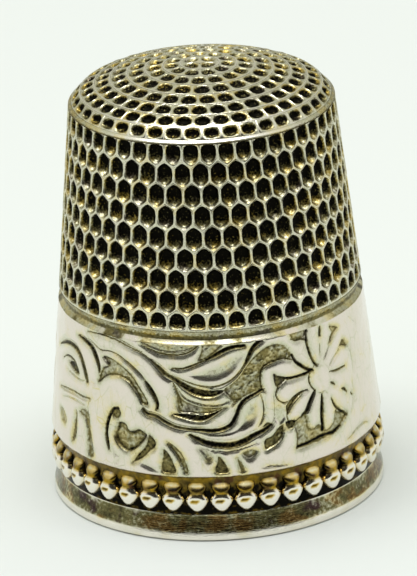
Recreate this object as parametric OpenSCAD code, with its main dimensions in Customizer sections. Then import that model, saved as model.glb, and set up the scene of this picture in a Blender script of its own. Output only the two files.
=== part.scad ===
// Sewing thimble in silver: a knurled tapering wall closed by a struck cap, with an ornamental
// band, a beaded wire and a rim wire fitted round its foot and a solder film in each joint.
// Units are millimetres. The axis is Z, and z = 0 is the plane that the rim stands on.

/* [Outer form] */
// Height from the standing face to the top of the crown
height = 23.8; // [23.3:0.1:24.6]
// Radius that the outer cone has where it meets the standing plane
cone_r = 9.27; // [9.15:0.01:9.4]
// Radius that the outer cone loses per millimetre of height
taper = 0.1; // [0.095:0.005:0.105]
// Radius of the crown's dome
crown_r = 17; // [15:0.5:20]
// Radius of the rounded shoulder between crown and wall
shoulder_r = 1.7; // [1.4:0.1:1.9]

/* [Finger cavity] */
// Radius of the mouth at the standing plane
mouth_r = 8.45; // [8.4:0.01:8.48]
// Radius of the cavity just under the cap
throat_r = 6.6; // [6.5:0.05:6.65]
// Thickness of the cap
cap_wall = 0.55; // [0.45:0.05:0.6]

/* [Joint heights] */
// Height of the seat that the cap rests on
cap_seat_z = 21.75; // [21.6:0.05:21.8]
// Depth of the cap's spigot inside the wall
spigot_depth = 0.8; // [0.6:0.1:1]
// Height of the shoulder that the band butts against
band_top_z = 11.3; // [11.2:0.05:11.4]
// Height of the band's lower edge
band_foot_z = 3.65; // [3.5:0.05:3.8]
// Height of the rim wire's upper edge
rim_top_z = 1.45; // [1.3:0.05:1.6]
// Height of the ledge in the rim wire that the wall stands on
ledge_z = 0.4; // [0.3:0.05:0.5]

/* [Fits] */
// Thickness of the band's plain metal
band_wall = 0.35; // [0.3:0.01:0.38]
// Thickness of each solder film
film = 0.06; // [0.05:0.01:0.08]

/* [Pits in the wall] */
// Number of rows
rows = 9; // [1:1:9]
// Pits in each row
row_pits = 48; // [24:1:48]
// Height of the top row's centres
top_row_z = 21.22; // [21:0.01:21.25]
// Distance from row to row
row_pitch = 1.144; // [1.1:0.001:1.15]
// Half width of a pit
pit_half_w = 0.38; // [0.3:0.01:0.39]
// Half height of a pit's upright sides
pit_half_side = 0.3; // [0.2:0.01:0.32]
// Half height of a pit from its middle to its point
pit_peak = 0.68; // [0.5:0.01:0.7]
// Depth of a pit
pit_depth = 0.26; // [0.15:0.01:0.28]

/* [Pits in the cap] */
// Radius of a pit's mouth
cap_pit_r = 0.36; // [0.25:0.01:0.37]
// Depth of a pit
cap_pit_depth = 0.2; // [0.1:0.01:0.22]

/* [Beaded wire] */
// Number of beads
beads = 42; // [20:1:42]
// Half width of a bead
bead_r = 0.56; // [0.4:0.01:0.58]
// Half height of a bead
bead_half_h = 0.84; // [0.7:0.01:0.9]
// Distance from the axis to the middle of a bead
bead_axis_r = 8.47; // [8.45:0.01:8.5]

/* [Hidden] */
fine = 96;
silver = [0.87, 0.86, 0.81];
bright_silver = [0.93, 0.92, 0.88];
solder_colour = [0.72, 0.69, 0.62];

// The cavity narrows evenly from the mouth to the end of the spigot.
spigot_foot_z = cap_seat_z - spigot_depth;
cavity_taper = (mouth_r - throat_r) / (spigot_foot_z - film);
function cavity_r(z) = mouth_r - cavity_taper * z;
function cone(z) = cone_r - taper * z;

// Below the band the wall runs straight down behind the beaded wire and the rim wire.
wall_foot_z = ledge_z + film;
backing_r = cone(band_foot_z) - band_wall - film;
sleeve_r = backing_r + film;
spigot_r = throat_r + 0.02;
counterbore_r = spigot_r + film;

// The plain cove between the last row of pits and the band.
cove_depth = 0.17;
cove_h = 0.35;
bevel_h = 0.35;
cove_r = cone(band_top_z) - cove_depth;

// Crown and shoulder are two arcs that meet where they share a tangent.
crown_z = height - crown_r;
shoulder_edge_r = 7.12;
shoulder_x = shoulder_edge_r - shoulder_r;
shoulder_z = crown_z + sqrt(pow(crown_r - shoulder_r, 2) - pow(shoulder_x, 2));
join_angle = atan2(shoulder_x, shoulder_z - crown_z);
join_r = crown_r * sin(join_angle);
arc_steps = 8;

// Rings of pits: distance from the axis, number of pits, and turn of the first one from the front.
cap_rings = [0.6, 1.5, 2.42, 3.4, 4.35, 5.25, 6.04, 6.63];
cap_ring_pits = [4, 11, 17, 21, 28, 34, 39, 42];
cap_ring_turns = [-46, 16.2, -2.5, 0.7, 4, -1.5, 0, 3.8];

// Angle from the axis of the cap's surface normal at a distance r from the axis.
function cap_tilt(r) = r < join_r ? asin(r / crown_r) : asin((r - shoulder_x) / shoulder_r);

// Point of the cap's outer surface whose normal leans by angle a, sunk by a depth d.
function crown_point(a, d) = [(crown_r - d) * sin(a), crown_z + (crown_r - d) * cos(a)];
function shoulder_point(a, d) =
    [shoulder_x + (shoulder_r - d) * sin(a), shoulder_z + (shoulder_r - d) * cos(a)];
function cap_point(r, d) =
    r < join_r ? crown_point(cap_tilt(r), d) : shoulder_point(cap_tilt(r), d);

// Half section of the cap, as seen with the axis at x = 0, sunk by a depth d to an edge angle.
function cap_outline(d, edge) = [
    for (i = [0:arc_steps]) crown_point(join_angle * i / arc_steps, d),
    for (i = [1:arc_steps]) shoulder_point(join_angle + (edge - join_angle) * i / arc_steps, d)
];
function reversed(list) = [for (i = [len(list) - 1:-1:0]) list[i]];

// Angle at which an arc of the shoulder, sunk by a depth d, comes down to a height z.
function shoulder_angle(z, d) = acos((z - shoulder_z) / (shoulder_r - d));

// Tools that cut one pit into a surface at the origin whose outward normal is +Z. The six-sided
// one has its points along X, the upper one at -up and the lower one at +down.
module round_pit() {
    translate([0, 0, -cap_pit_depth]) cylinder(r = cap_pit_r, h = 1, $fn = 32);
}
module six_sided_pit(up, down) {
    translate([0, 0, -pit_depth]) linear_extrude(height = 1) polygon([
        [-up, 0], [-pit_half_side, pit_half_w], [pit_half_side, pit_half_w], [down, 0],
        [pit_half_side, -pit_half_w], [-pit_half_side, -pit_half_w]]);
}

module cap() {
    inner_r = spigot_r - cap_wall + 0.05;
    inner_angle = asin((inner_r - shoulder_x) / (shoulder_r - cap_wall));
    color(silver) difference() {
        rotate_extrude($fn = fine) polygon(concat(
            cap_outline(0, shoulder_angle(cap_seat_z, 0)),
            [[spigot_r, cap_seat_z], [spigot_r, spigot_foot_z], [inner_r, spigot_foot_z]],
            reversed(cap_outline(cap_wall, inner_angle))));
        for (ring = [0:len(cap_rings) - 1]) {
            r = cap_rings[ring];
            count = cap_ring_pits[ring];
            place = cap_point(r, 0);
            for (i = [0:count - 1])
                rotate([0, 0, cap_ring_turns[ring] - 90 + 360 * i / count])
                    translate([place[0], 0, place[1]]) rotate([0, cap_tilt(r), 0])
                        round_pit();
        }
    }
}

// Solder in the lap joint: under the cap's edge, round its spigot and under the spigot's end.
module cap_solder() {
    edge_r = shoulder_point(shoulder_angle(cap_seat_z, 0), 0)[0];
    color(solder_colour) rotate_extrude($fn = fine) polygon([
        [throat_r, spigot_foot_z - film], [counterbore_r, spigot_foot_z - film],
        [counterbore_r, cap_seat_z - film], [edge_r + film / 2, cap_seat_z - film],
        [edge_r, cap_seat_z], [spigot_r, cap_seat_z], [spigot_r, spigot_foot_z],
        [throat_r, spigot_foot_z]]);
}

// The points of the first and the last row are blunt, to clear the cap and the cove.
module side_wall() {
    lean = atan(taper);
    blunt = pit_half_side + 0.12;
    color(silver) difference() {
        rotate_extrude($fn = fine) polygon([
            [cavity_r(wall_foot_z), wall_foot_z], [backing_r, wall_foot_z],
            [backing_r, band_foot_z],
            [cone(band_top_z) - band_wall - film, band_top_z], [cove_r, band_top_z],
            [cone(band_top_z + cove_h), band_top_z + cove_h],
            [cone(cap_seat_z - film), cap_seat_z - film],
            [counterbore_r, cap_seat_z - film], [counterbore_r, spigot_foot_z - film],
            [throat_r, spigot_foot_z - film]]);
        for (row = [0:rows - 1]) {
            z = top_row_z - row * row_pitch;
            shift = row % 2 == 0 ? 0.25 : -0.25;
            up = row == 0 ? blunt : pit_peak;
            down = row == rows - 1 ? blunt : pit_peak;
            for (i = [0:row_pits - 1]) rotate([0, 0, 360 * (i + shift) / row_pits])
                translate([cone(z), 0, z]) rotate([0, 90 - lean, 0]) six_sided_pit(up, down);
        }
    }
}

module scroll_band() {
    chamfer = 0.08;
    color(bright_silver) rotate_extrude($fn = fine) polygon([
        [sleeve_r, band_foot_z], [cone(band_foot_z) - chamfer, band_foot_z],
        [cone(band_foot_z + chamfer), band_foot_z + chamfer],
        [cone(band_top_z - bevel_h), band_top_z - bevel_h], [cove_r, band_top_z],
        [cone(band_top_z) - band_wall, band_top_z]]);
}

// Solder between the tapering wall and the inside of the band.
module band_solder() {
    top_r = cone(band_top_z) - band_wall;
    color(solder_colour) rotate_extrude($fn = fine) polygon([
        [backing_r, band_foot_z], [sleeve_r, band_foot_z], [top_r, band_top_z],
        [top_r - film, band_top_z]]);
}

// One bead, a spindle that stands on the wire's back.
module bead() {
    rotate_extrude($fn = 24) polygon([
        [0, -bead_half_h], [0.25 * bead_r, -bead_half_h], [0.78 * bead_r, -0.45 * bead_half_h],
        [bead_r, 0], [0.78 * bead_r, 0.45 * bead_half_h], [0.25 * bead_r, bead_half_h],
        [0, bead_half_h]]);
}

module bead_wire() {
    middle_z = (band_foot_z + rim_top_z) / 2;
    edge_r = sleeve_r + 0.14;
    floor_r = sleeve_r + 0.06;
    color(silver) difference() {
        union() {
            rotate_extrude($fn = fine) polygon([
                [sleeve_r, rim_top_z], [edge_r, rim_top_z], [floor_r, rim_top_z + 0.4],
                [floor_r, band_foot_z - 0.4], [edge_r, band_foot_z], [sleeve_r, band_foot_z]]);
            for (i = [0:beads - 1]) rotate([0, 0, 360 * (i + 0.5) / beads])
                translate([bead_axis_r, 0, middle_z]) bead();
        }
        translate([0, 0, rim_top_z - 1])
            cylinder(r = sleeve_r, h = band_foot_z - rim_top_z + 2, $fn = fine);
    }
}

// Rolled rim: it flares outwards, turns under and stands on a narrow flat ring.
module rim_wire() {
    belly_r = cone(0.5) - 0.28;
    turn_r = 0.36;
    turn_z = 0.4;
    flat_in = mouth_r + 0.08;
    flat_out = belly_r - turn_r + 0.1;
    color(bright_silver) rotate_extrude($fn = fine) polygon(concat(
        [[cavity_r(0.08), 0.08], [flat_in, 0], [flat_out, 0]],
        [for (a = [-60:20:0]) [belly_r - turn_r + turn_r * cos(a), turn_z + turn_z * sin(a)]],
        [[belly_r - 0.03, 0.62], [sleeve_r + 0.13, rim_top_z - 0.05],
         [sleeve_r + 0.08, rim_top_z], [sleeve_r, rim_top_z], [sleeve_r, ledge_z],
         [cavity_r(ledge_z), ledge_z]]));
}

// Solder under the wall's foot and behind the rim wire and the beaded wire.
module rim_solder() {
    color(solder_colour) rotate_extrude($fn = fine) polygon([
        [cavity_r(ledge_z), ledge_z], [sleeve_r, ledge_z], [sleeve_r, band_foot_z],
        [backing_r, band_foot_z], [backing_r, wall_foot_z], [cavity_r(wall_foot_z), wall_foot_z]]);
}

cap();
cap_solder();
side_wall();
scroll_band();
band_solder();
bead_wire();
rim_wire();
rim_solder();
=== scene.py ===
"""An old sterling silver thimble: knurled wall, pitted cap, chased band, beads and rolled rim."""

import logging
import math
from dataclasses import dataclass, field
from enum import Enum

import bmesh
import bpy
import numpy as np
from mathutils import Matrix, Vector


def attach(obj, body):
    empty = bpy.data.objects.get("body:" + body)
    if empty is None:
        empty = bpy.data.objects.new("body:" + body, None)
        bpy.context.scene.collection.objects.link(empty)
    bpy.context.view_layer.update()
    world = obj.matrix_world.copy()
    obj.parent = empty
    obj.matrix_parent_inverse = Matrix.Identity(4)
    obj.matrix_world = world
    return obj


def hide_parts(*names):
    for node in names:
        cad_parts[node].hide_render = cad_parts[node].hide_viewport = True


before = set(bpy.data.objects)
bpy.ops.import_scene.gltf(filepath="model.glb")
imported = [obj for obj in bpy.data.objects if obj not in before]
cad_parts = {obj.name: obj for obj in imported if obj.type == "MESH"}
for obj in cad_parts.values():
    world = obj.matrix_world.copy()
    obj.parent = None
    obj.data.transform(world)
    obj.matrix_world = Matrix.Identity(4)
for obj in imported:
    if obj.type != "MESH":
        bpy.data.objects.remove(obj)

MM = 0.001
LOG = logging.getLogger("thimble")

Point = tuple[float, float]
Outline = tuple[Point, ...]
Tree = bpy.types.NodeTree
Socket = bpy.types.NodeSocket
Material = bpy.types.Material


# ---------------------------------------------------------------------------------------------
# Form shared by every piece, in millimetres
# ---------------------------------------------------------------------------------------------

@dataclass(frozen=True)
class Form:
    """The thimble's common lines, in millimetres, with the standing face at z = 0."""

    height: float = 23.8
    cone_r: float = 9.27
    taper: float = 0.1
    mouth_r: float = 8.45
    throat_r: float = 6.6
    throat_z: float = 20.89
    cap_seat_z: float = 21.75
    film: float = 0.06
    band_top_z: float = 11.3
    band_foot_z: float = 3.65
    band_wall: float = 0.35
    rim_top_z: float = 1.45
    ledge_z: float = 0.4

    def cone(self, z: float) -> float:
        """Return the outer radius at height z."""
        return self.cone_r - self.taper * z

    def cavity(self, z: float) -> float:
        """Return the finger cavity's radius at height z."""
        return self.mouth_r - (self.mouth_r - self.throat_r) * z / self.throat_z

    @property
    def backing_r(self) -> float:
        """Return the radius of the wall's plain skirt behind the beads."""
        return self.cone(self.band_foot_z) - self.band_wall - self.film

    @property
    def sleeve_r(self) -> float:
        """Return the radius that the band, beads and rim are fitted over."""
        return self.backing_r + self.film


class Tarnish(float, Enum):
    """How far the silver has darkened, from bare metal to black sulphide."""

    BARE = 0.0
    TINTED = 0.3
    GOLDEN = 0.5
    BROWN = 0.72
    BLACK = 1.0


# ---------------------------------------------------------------------------------------------
# Mesh and curve helpers
# ---------------------------------------------------------------------------------------------

@dataclass
class Shell:
    """A mesh in the making: vertices in millimetres, faces, and a tarnish value per vertex."""

    points: np.ndarray
    faces: list[tuple[int, ...]]
    tarnish: np.ndarray

    @staticmethod
    def joined(shells: list["Shell"]) -> "Shell":
        """Put several shells into one, without welding them.

        Args:
            shells: the shells, in the order in which their vertices follow each other.

        Returns:
            One shell with all their vertices and faces.
        """
        faces: list[tuple[int, ...]] = []
        start = 0
        for shell in shells:
            faces += [tuple(start + i for i in face) for face in shell.faces]
            start += len(shell.points)
        points = np.concatenate([shell.points for shell in shells])
        tarnish = np.concatenate([shell.tarnish for shell in shells])
        return Shell(points, faces, tarnish)

    def to_object(self, name: str, weld: float = 0.0, crease: float = 55.0) -> bpy.types.Object:
        """Make a Blender object in metres, with smooth faces and sharp creases.

        Args:
            name: the object's name.
            weld: distance in millimetres under which vertices are merged; 0 leaves them.
            crease: angle in degrees above which an edge stays sharp.

        Returns:
            The new object, linked to the scene.
        """
        mesh = bpy.data.meshes.new(name)
        mesh.from_pydata((self.points * MM).tolist(), [], self.faces)
        layer = mesh.attributes.new("tarnish", "FLOAT", "POINT")
        layer.data.foreach_set("value", self.tarnish.astype(np.float32))
        if weld:
            work = bmesh.new()
            work.from_mesh(mesh)
            bmesh.ops.remove_doubles(work, verts=work.verts, dist=weld * MM)
            bmesh.ops.recalc_face_normals(work, faces=work.faces)
            work.to_mesh(mesh)
            work.free()
        mesh.polygons.foreach_set("use_smooth", np.ones(len(mesh.polygons), dtype=bool))
        mesh.set_sharp_from_angle(angle=math.radians(crease))
        mesh.update()
        piece = bpy.data.objects.new(name, mesh)
        bpy.context.scene.collection.objects.link(piece)
        return piece


def turned(profile: np.ndarray, tarnish: np.ndarray, segments: int, closed: bool) -> Shell:
    """Turn a half section round the Z axis.

    Args:
        profile: rows of radius and height; a radius of 0 makes a pole.
        tarnish: one value for each row of the profile.
        segments: number of steps round the axis.
        closed: whether the last row joins the first.

    Returns:
        The turned shell; rows at a pole are welded later.
    """
    count = len(profile)
    angles = np.arange(segments) * (2 * math.pi / segments)
    x = np.outer(np.sin(angles), profile[:, 0])
    y = -np.outer(np.cos(angles), profile[:, 0])
    z = np.tile(profile[:, 1], (segments, 1))
    points = np.stack([x, y, z], axis=-1).reshape(-1, 3)
    faces = []
    for i in range(segments):
        j = (i + 1) % segments
        for k in range(count if closed else count - 1):
            n = (k + 1) % count
            faces.append((i * count + k, j * count + k, j * count + n, i * count + n))
    return Shell(points, faces, np.tile(tarnish, segments))


def arc(centre: Point, radius: float, start: float, end: float, steps: int) -> list[Point]:
    """Lay points on an arc in the plane of a half section.

    Args:
        centre: the arc's centre, as radius and height.
        radius: the arc's own radius.
        start: first angle, in degrees from the direction that points away from the axis.
        end: last angle.
        steps: number of pieces.

    Returns:
        The points, from start to end.
    """
    angles = np.radians(np.linspace(start, end, steps + 1))
    return [(centre[0] + radius * math.cos(a), centre[1] + radius * math.sin(a)) for a in angles]


def smooth(path: Outline, closed: bool, steps: int = 6) -> np.ndarray:
    """Run a Catmull-Rom curve through a few given points.

    Args:
        path: the points that the curve passes through.
        closed: whether the curve returns to its first point.
        steps: number of pieces between two points.

    Returns:
        An array of points along the curve.
    """
    knots = np.array(path, dtype=float)
    if closed:
        knots = np.concatenate([knots[-1:], knots, knots[:2]])
    else:
        knots = np.concatenate([2 * knots[:1] - knots[1:2], knots, 2 * knots[-1:] - knots[-2:-1]])
    out = []
    for a, b, c, d in zip(knots[:-3], knots[1:-2], knots[2:-1], knots[3:]):
        t = np.arange(steps)[:, None] / steps
        out.append(0.5 * (2 * b + (c - a) * t + (2 * a - 5 * b + 4 * c - d) * t ** 2
                          + (3 * b - a - 3 * c + d) * t ** 3))
    if not closed:
        out.append(knots[-2:-1])
    return np.concatenate(out)


def eased(share: np.ndarray) -> np.ndarray:
    """Clip shares to 0 and 1 and soften both ends."""
    share = np.clip(share, 0, 1)
    return share * share * (3 - 2 * share)


# ---------------------------------------------------------------------------------------------
# Material helpers
# ---------------------------------------------------------------------------------------------

def linear(code: str) -> tuple[float, float, float, float]:
    """Turn an sRGB hex code into a linear colour.

    Args:
        code: the colour, such as "#FFFFFF".

    Returns:
        Linear red, green and blue, and an alpha of 1.
    """
    values = [int(code[i:i + 2], 16) / 255 for i in (1, 3, 5)]
    r, g, b = [v / 12.92 if v <= 0.04045 else ((v + 0.055) / 1.055) ** 2.4 for v in values]
    return (r, g, b, 1.0)


def add(tree: Tree, kind: str, settings: dict | None = None,
        inputs: dict | None = None) -> bpy.types.Node:
    """Add a node, set its properties, and fill or link its inputs.

    Args:
        tree: the tree that gets the node.
        kind: the node's type name.
        settings: property names and values.
        inputs: input names or indices, each with a value or an output socket to link from.

    Returns:
        The new node.
    """
    made = tree.nodes.new(kind)
    for name, value in (settings or {}).items():
        setattr(made, name, value)
    for key, value in (inputs or {}).items():
        if isinstance(value, Socket):
            tree.links.new(value, made.inputs[key])
        else:
            made.inputs[key].default_value = value
    return made


def blank(name: str) -> Material:
    """Make a material whose node tree is empty.

    Args:
        name: the material's name.

    Returns:
        The new material.
    """
    material = bpy.data.materials.new(name)
    material.use_nodes = True
    material.node_tree.nodes.clear()
    return material


# ---------------------------------------------------------------------------------------------
# Finishes
# ---------------------------------------------------------------------------------------------

@dataclass(frozen=True)
class OldSilver:
    """Sterling silver that has been worn bright on its high parts and has blackened in its cuts.

    The "tarnish" value on each vertex picks a tone between bare metal and black sulphide. Bare
    silver mirrors its surroundings softly, through a haze of fine handling scratches. Real
    scratches are a few hundredths of a millimetre wide, and these are drawn coarser so that they
    show. Colours run from bare through tinted and golden to black. Patches of straw and dusk
    have a first colour and a deep one of their own.
    """

    name: str
    bare: str = "#F0EBDF"
    tinted: str = "#CFCEB3"
    golden: str = "#7D754B"
    straw: str = "#DBD09F"
    warm: str = "#94803C"
    dusk: str = "#CFCBB4"
    violet: str = "#5C5340"
    black: str = "#100F0B"
    haze: float = 0.16
    dull: float = 0.5
    unevenness: float = 0.12
    mottle_mm: float = 0.35
    mottle: float = 0.2
    mottle_gain: float = 2.5
    scratch_mm: float = 0.12
    scratch_depth: float = 0.003
    cloud_mm: float = 4.0
    cloud: float = 0.05
    hue_mm: float = 0.9
    grime: float = 0.0
    hairlines: float = 0.0
    hairline_mm: float = 0.5
    hairline_width: float = 0.035
    stretch: tuple[float, float, float] = (1.0, 1.0, 1.0)

    def build(self) -> Material:
        """Make the material, with its patterns on Object coordinates.

        Returns:
            A metal whose colour and haze follow the tone, with scratches in its surface.
        """
        material = blank(self.name)
        tree = material.node_tree
        place = add(tree, "ShaderNodeTexCoord").outputs["Object"]
        tone = self.tone(tree, place)
        drawn = add(tree, "ShaderNodeMapping", None,
                    {"Vector": place, "Rotation": (0.0, 0.35, 0.0), "Scale": self.stretch})
        scratches = add(tree, "ShaderNodeTexNoise", None,
                        {"Vector": drawn.outputs["Vector"], "Scale": 1 / (self.scratch_mm * MM),
                         "Detail": 4.0, "Roughness": 0.6, "Distortion": 0.6})
        haze = add(tree, "ShaderNodeMapRange", None,
                   {"Value": tone, "To Min": self.haze, "To Max": self.dull})
        uneven = add(tree, "ShaderNodeMath", {"operation": "MULTIPLY_ADD"},
                     {0: scratches.outputs["Fac"], 1: self.unevenness, 2: -self.unevenness / 2})
        rough = add(tree, "ShaderNodeMath", {"operation": "ADD", "use_clamp": True},
                    {0: haze.outputs["Result"], 1: uneven.outputs[0]})
        bump = add(tree, "ShaderNodeBump", None,
                   {"Height": scratches.outputs["Fac"], "Strength": 0.6,
                    "Distance": self.scratch_depth * MM})
        shader = add(tree, "ShaderNodeBsdfPrincipled", None,
                     {"Base Color": self.hue(tree, place, tone), "Metallic": 1.0,
                      "Roughness": rough.outputs[0], "Normal": bump.outputs["Normal"]})
        add(tree, "ShaderNodeOutputMaterial", None, {"Surface": shader.outputs["BSDF"]})
        return material

    def tone(self, tree: Tree, place: Socket) -> Socket:
        """Vary the tarnish with mottling, clouds, specks of grime and hairlines.

        Args:
            tree: the material's tree.
            place: Object coordinates.

        Returns:
            The tone, from 0 for bare metal to 1 for black.
        """
        worn = add(tree, "ShaderNodeAttribute", {"attribute_name": "tarnish"}).outputs["Fac"]
        spots = add(tree, "ShaderNodeTexNoise", None,
                    {"Vector": place, "Scale": 1 / (self.mottle_mm * MM), "Detail": 3.0})
        clouds = add(tree, "ShaderNodeTexNoise", None,
                     {"Vector": place, "Scale": 1 / (self.cloud_mm * MM), "Detail": 2.0})
        spot_shift = add(tree, "ShaderNodeMath", {"operation": "MULTIPLY_ADD"},
                         {0: spots.outputs["Fac"], 1: self.mottle, 2: -self.mottle / 2})
        cloud_shift = add(tree, "ShaderNodeMath", {"operation": "MULTIPLY_ADD"},
                          {0: clouds.outputs["Fac"], 1: 2 * self.cloud, 2: -self.cloud})
        # Mottling shows on tarnish that has started, not on metal rubbed bare.
        patchy = add(tree, "ShaderNodeMath", {"operation": "MULTIPLY"},
                     {0: spot_shift.outputs[0], 1: worn})
        mottled = add(tree, "ShaderNodeMath", {"operation": "MULTIPLY_ADD"},
                      {0: patchy.outputs[0], 1: self.mottle_gain, 2: cloud_shift.outputs[0]})
        specks = add(tree, "ShaderNodeMapRange", None,
                     {"Value": spots.outputs["Fac"], "From Min": 0.48, "From Max": 0.7,
                      "To Min": 0.0, "To Max": self.grime})
        scored = self.scored(tree, place, worn, clouds.outputs["Fac"], mottled.outputs[0])
        soiled = add(tree, "ShaderNodeMath", {"operation": "ADD"},
                     {0: scored, 1: specks.outputs["Result"]})
        return add(tree, "ShaderNodeMath", {"operation": "ADD", "use_clamp": True},
                   {0: worn, 1: soiled.outputs[0]}).outputs[0]

    def scored(self, tree: Tree, place: Socket, worn: Socket, clouds: Socket,
               shift: Socket) -> Socket:
        """Draw hairline scratches that hold a little tarnish, in patches of bare metal.

        Args:
            tree: the material's tree.
            place: Object coordinates.
            worn: the tarnish value on the vertices.
            clouds: the noise that decides where the patches lie.
            shift: the change of tone so far.

        Returns:
            The change of tone with the hairlines added.
        """
        bent = add(tree, "ShaderNodeMapping", None,
                   {"Vector": place, "Rotation": (0.3, 0.5, 0.2), "Scale": (1.0, 1.0, 0.45)})
        cells = add(tree, "ShaderNodeTexVoronoi", {"feature": "DISTANCE_TO_EDGE"},
                    {"Vector": bent.outputs["Vector"], "Scale": 1 / (self.hairline_mm * MM)})
        patches = add(tree, "ShaderNodeMapRange", None,
                      {"Value": clouds, "From Min": 0.42, "From Max": 0.58,
                       "To Min": 0.0, "To Max": self.hairlines})
        line = add(tree, "ShaderNodeMapRange", None,
                   {"Value": cells.outputs["Distance"], "From Min": 0.0,
                    "From Max": self.hairline_width, "To Min": 1.0, "To Max": 0.0})
        on_bare = add(tree, "ShaderNodeMapRange", None,
                      {"Value": worn, "From Min": 0.0, "From Max": Tarnish.TINTED.value,
                       "To Min": 1.0, "To Max": 0.0})
        faint = add(tree, "ShaderNodeMath", {"operation": "MULTIPLY"},
                    {0: patches.outputs["Result"], 1: on_bare.outputs["Result"]})
        return add(tree, "ShaderNodeMath", {"operation": "MULTIPLY_ADD"},
                   {0: line.outputs["Result"], 1: faint.outputs[0], 2: shift}).outputs[0]

    def hue(self, tree: Tree, place: Socket, tone: Socket) -> Socket:
        """Colour the tone, running from olive through straw to dusk in soft patches.

        Args:
            tree: the material's tree.
            place: Object coordinates.
            tone: 0 for bare metal to 1 for black.

        Returns:
            The colour.
        """
        ramps = []
        for first, deep in ((self.tinted, self.golden), (self.straw, self.warm),
                            (self.dusk, self.violet)):
            ramp = add(tree, "ShaderNodeValToRGB", None, {"Fac": tone})
            stops = ramp.color_ramp.elements
            stops[0].position = 0.0
            stops[0].color = linear(self.bare)
            stops[1].position = 0.95
            stops[1].color = linear(self.black)
            for position, code in ((0.3, first), (0.58, deep)):
                stop = stops.new(position)
                stop.color = linear(code)
            ramps.append(ramp.outputs["Color"])
        olive, straw, dusk = ramps
        hues = add(tree, "ShaderNodeTexNoise", None,
                   {"Vector": place, "Scale": 1 / (self.hue_mm * MM), "Detail": 2.0})
        to_straw = add(tree, "ShaderNodeMapRange", {"interpolation_type": "SMOOTHSTEP"},
                       {"Value": hues.outputs["Fac"], "From Min": 0.48, "From Max": 0.62})
        to_dusk = add(tree, "ShaderNodeMapRange", {"interpolation_type": "SMOOTHSTEP"},
                      {"Value": hues.outputs["Fac"], "From Min": 0.44, "From Max": 0.32})
        mixed = add(tree, "ShaderNodeMix", {"data_type": "RGBA"},
                    {"Factor": to_straw.outputs["Result"], 6: olive, 7: straw})
        return add(tree, "ShaderNodeMix", {"data_type": "RGBA"},
                   {"Factor": to_dusk.outputs["Result"], 6: mixed.outputs[2], 7: dusk}).outputs[2]


@dataclass(frozen=True)
class SilverSolder:
    """Silver solder: a dull, slightly yellow alloy that tarnishes faster than the sheet."""

    name: str = "tarnished_silver_solder"
    bright: str = "#B8AE8C"
    brown: str = "#5A4A28"
    patch_mm: float = 0.5

    def build(self) -> Material:
        """Make the material, with its patches on Object coordinates.

        Returns:
            A metal that is brown in patches and rougher there.
        """
        material = blank(self.name)
        tree = material.node_tree
        place = add(tree, "ShaderNodeTexCoord").outputs["Object"]
        patches = add(tree, "ShaderNodeTexNoise", None,
                      {"Vector": place, "Scale": 1 / (self.patch_mm * MM), "Detail": 3.0})
        tone = add(tree, "ShaderNodeMix", {"data_type": "RGBA"},
                   {"Factor": patches.outputs["Fac"], 6: linear(self.bright),
                    7: linear(self.brown)})
        rough = add(tree, "ShaderNodeMapRange", None,
                    {"Value": patches.outputs["Fac"], "To Min": 0.35, "To Max": 0.6})
        shader = add(tree, "ShaderNodeBsdfPrincipled", None,
                     {"Base Color": tone.outputs[2], "Metallic": 1.0,
                      "Roughness": rough.outputs["Result"]})
        add(tree, "ShaderNodeOutputMaterial", None, {"Surface": shader.outputs["BSDF"]})
        return material


@dataclass(frozen=True)
class MattCard:
    """Uncoated white card for the floor: it scatters light evenly and has a faint grain."""

    name: str = "matt_white_card"
    colour: str = "#E1E6E3"
    grain_mm: float = 1.1111
    grain_depth: float = 0.02

    def build(self) -> Material:
        """Make the material, with its grain on Object coordinates.

        Returns:
            A matt white card.
        """
        material = blank(self.name)
        tree = material.node_tree
        place = add(tree, "ShaderNodeTexCoord").outputs["Object"]
        grain = add(tree, "ShaderNodeTexNoise", None,
                    {"Vector": place, "Scale": 1 / (self.grain_mm * MM)})
        bump = add(tree, "ShaderNodeBump", None,
                   {"Height": grain.outputs["Fac"], "Strength": 0.1,
                    "Distance": self.grain_depth * MM})
        shader = add(tree, "ShaderNodeBsdfPrincipled", None,
                     {"Base Color": linear(self.colour), "Roughness": 0.85,
                      "Specular IOR Level": 0.2, "Normal": bump.outputs["Normal"]})
        add(tree, "ShaderNodeOutputMaterial", None, {"Surface": shader.outputs["BSDF"]})
        return material


@dataclass
class Finishes:
    """Every finish on the thimble, built once."""

    # Rolled with a knurling wheel: bright webs round pits that are black and never polished.
    knurled: Material = field(default_factory=OldSilver(
        "knurled_sterling_silver", haze=0.18, scratch_depth=0.004, mottle_mm=0.1,
        mottle=0.7).build)
    # Chased by hand and worn by wearing: a soft sheen with clouds, hairlines and dark cuts.
    worn: Material = field(default_factory=OldSilver(
        "worn_sterling_silver", bare="#E3D9CE", warm="#877B4C", violet="#6A6450", haze=0.15,
        mottle_mm=0.16, mottle=0.3, cloud_mm=2.2, cloud=0.13, grime=0.07, hairlines=0.3,
        scratch_depth=0.006).build)
    # Milled in a wire: polished in front by the fingers and golden where they can't reach.
    beaded: Material = field(default_factory=OldSilver(
        "beaded_sterling_silver", tinted="#DDC47E", golden="#8C7637", warm="#B8942E",
        violet="#6B4C2D", haze=0.16, dull=0.24, cloud=0.03, hue_mm=0.6).build)
    # Rolled and then scratched round by use: level streaks in brown and violet tarnish.
    rim: Material = field(default_factory=OldSilver(
        "scratched_sterling_silver", golden="#6F6A45", warm="#7D6338", violet="#4A3936",
        haze=0.1, dull=0.2, mottle_mm=0.2, mottle=0.5, scratch_mm=0.5, scratch_depth=0.03,
        cloud_mm=1.2, cloud=0.3, hue_mm=1.3, stretch=(1.0, 1.0, 7.0)).build)
    # Melted into the joints: a dull brown line.
    solder: Material = field(default_factory=SilverSolder().build)


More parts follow.
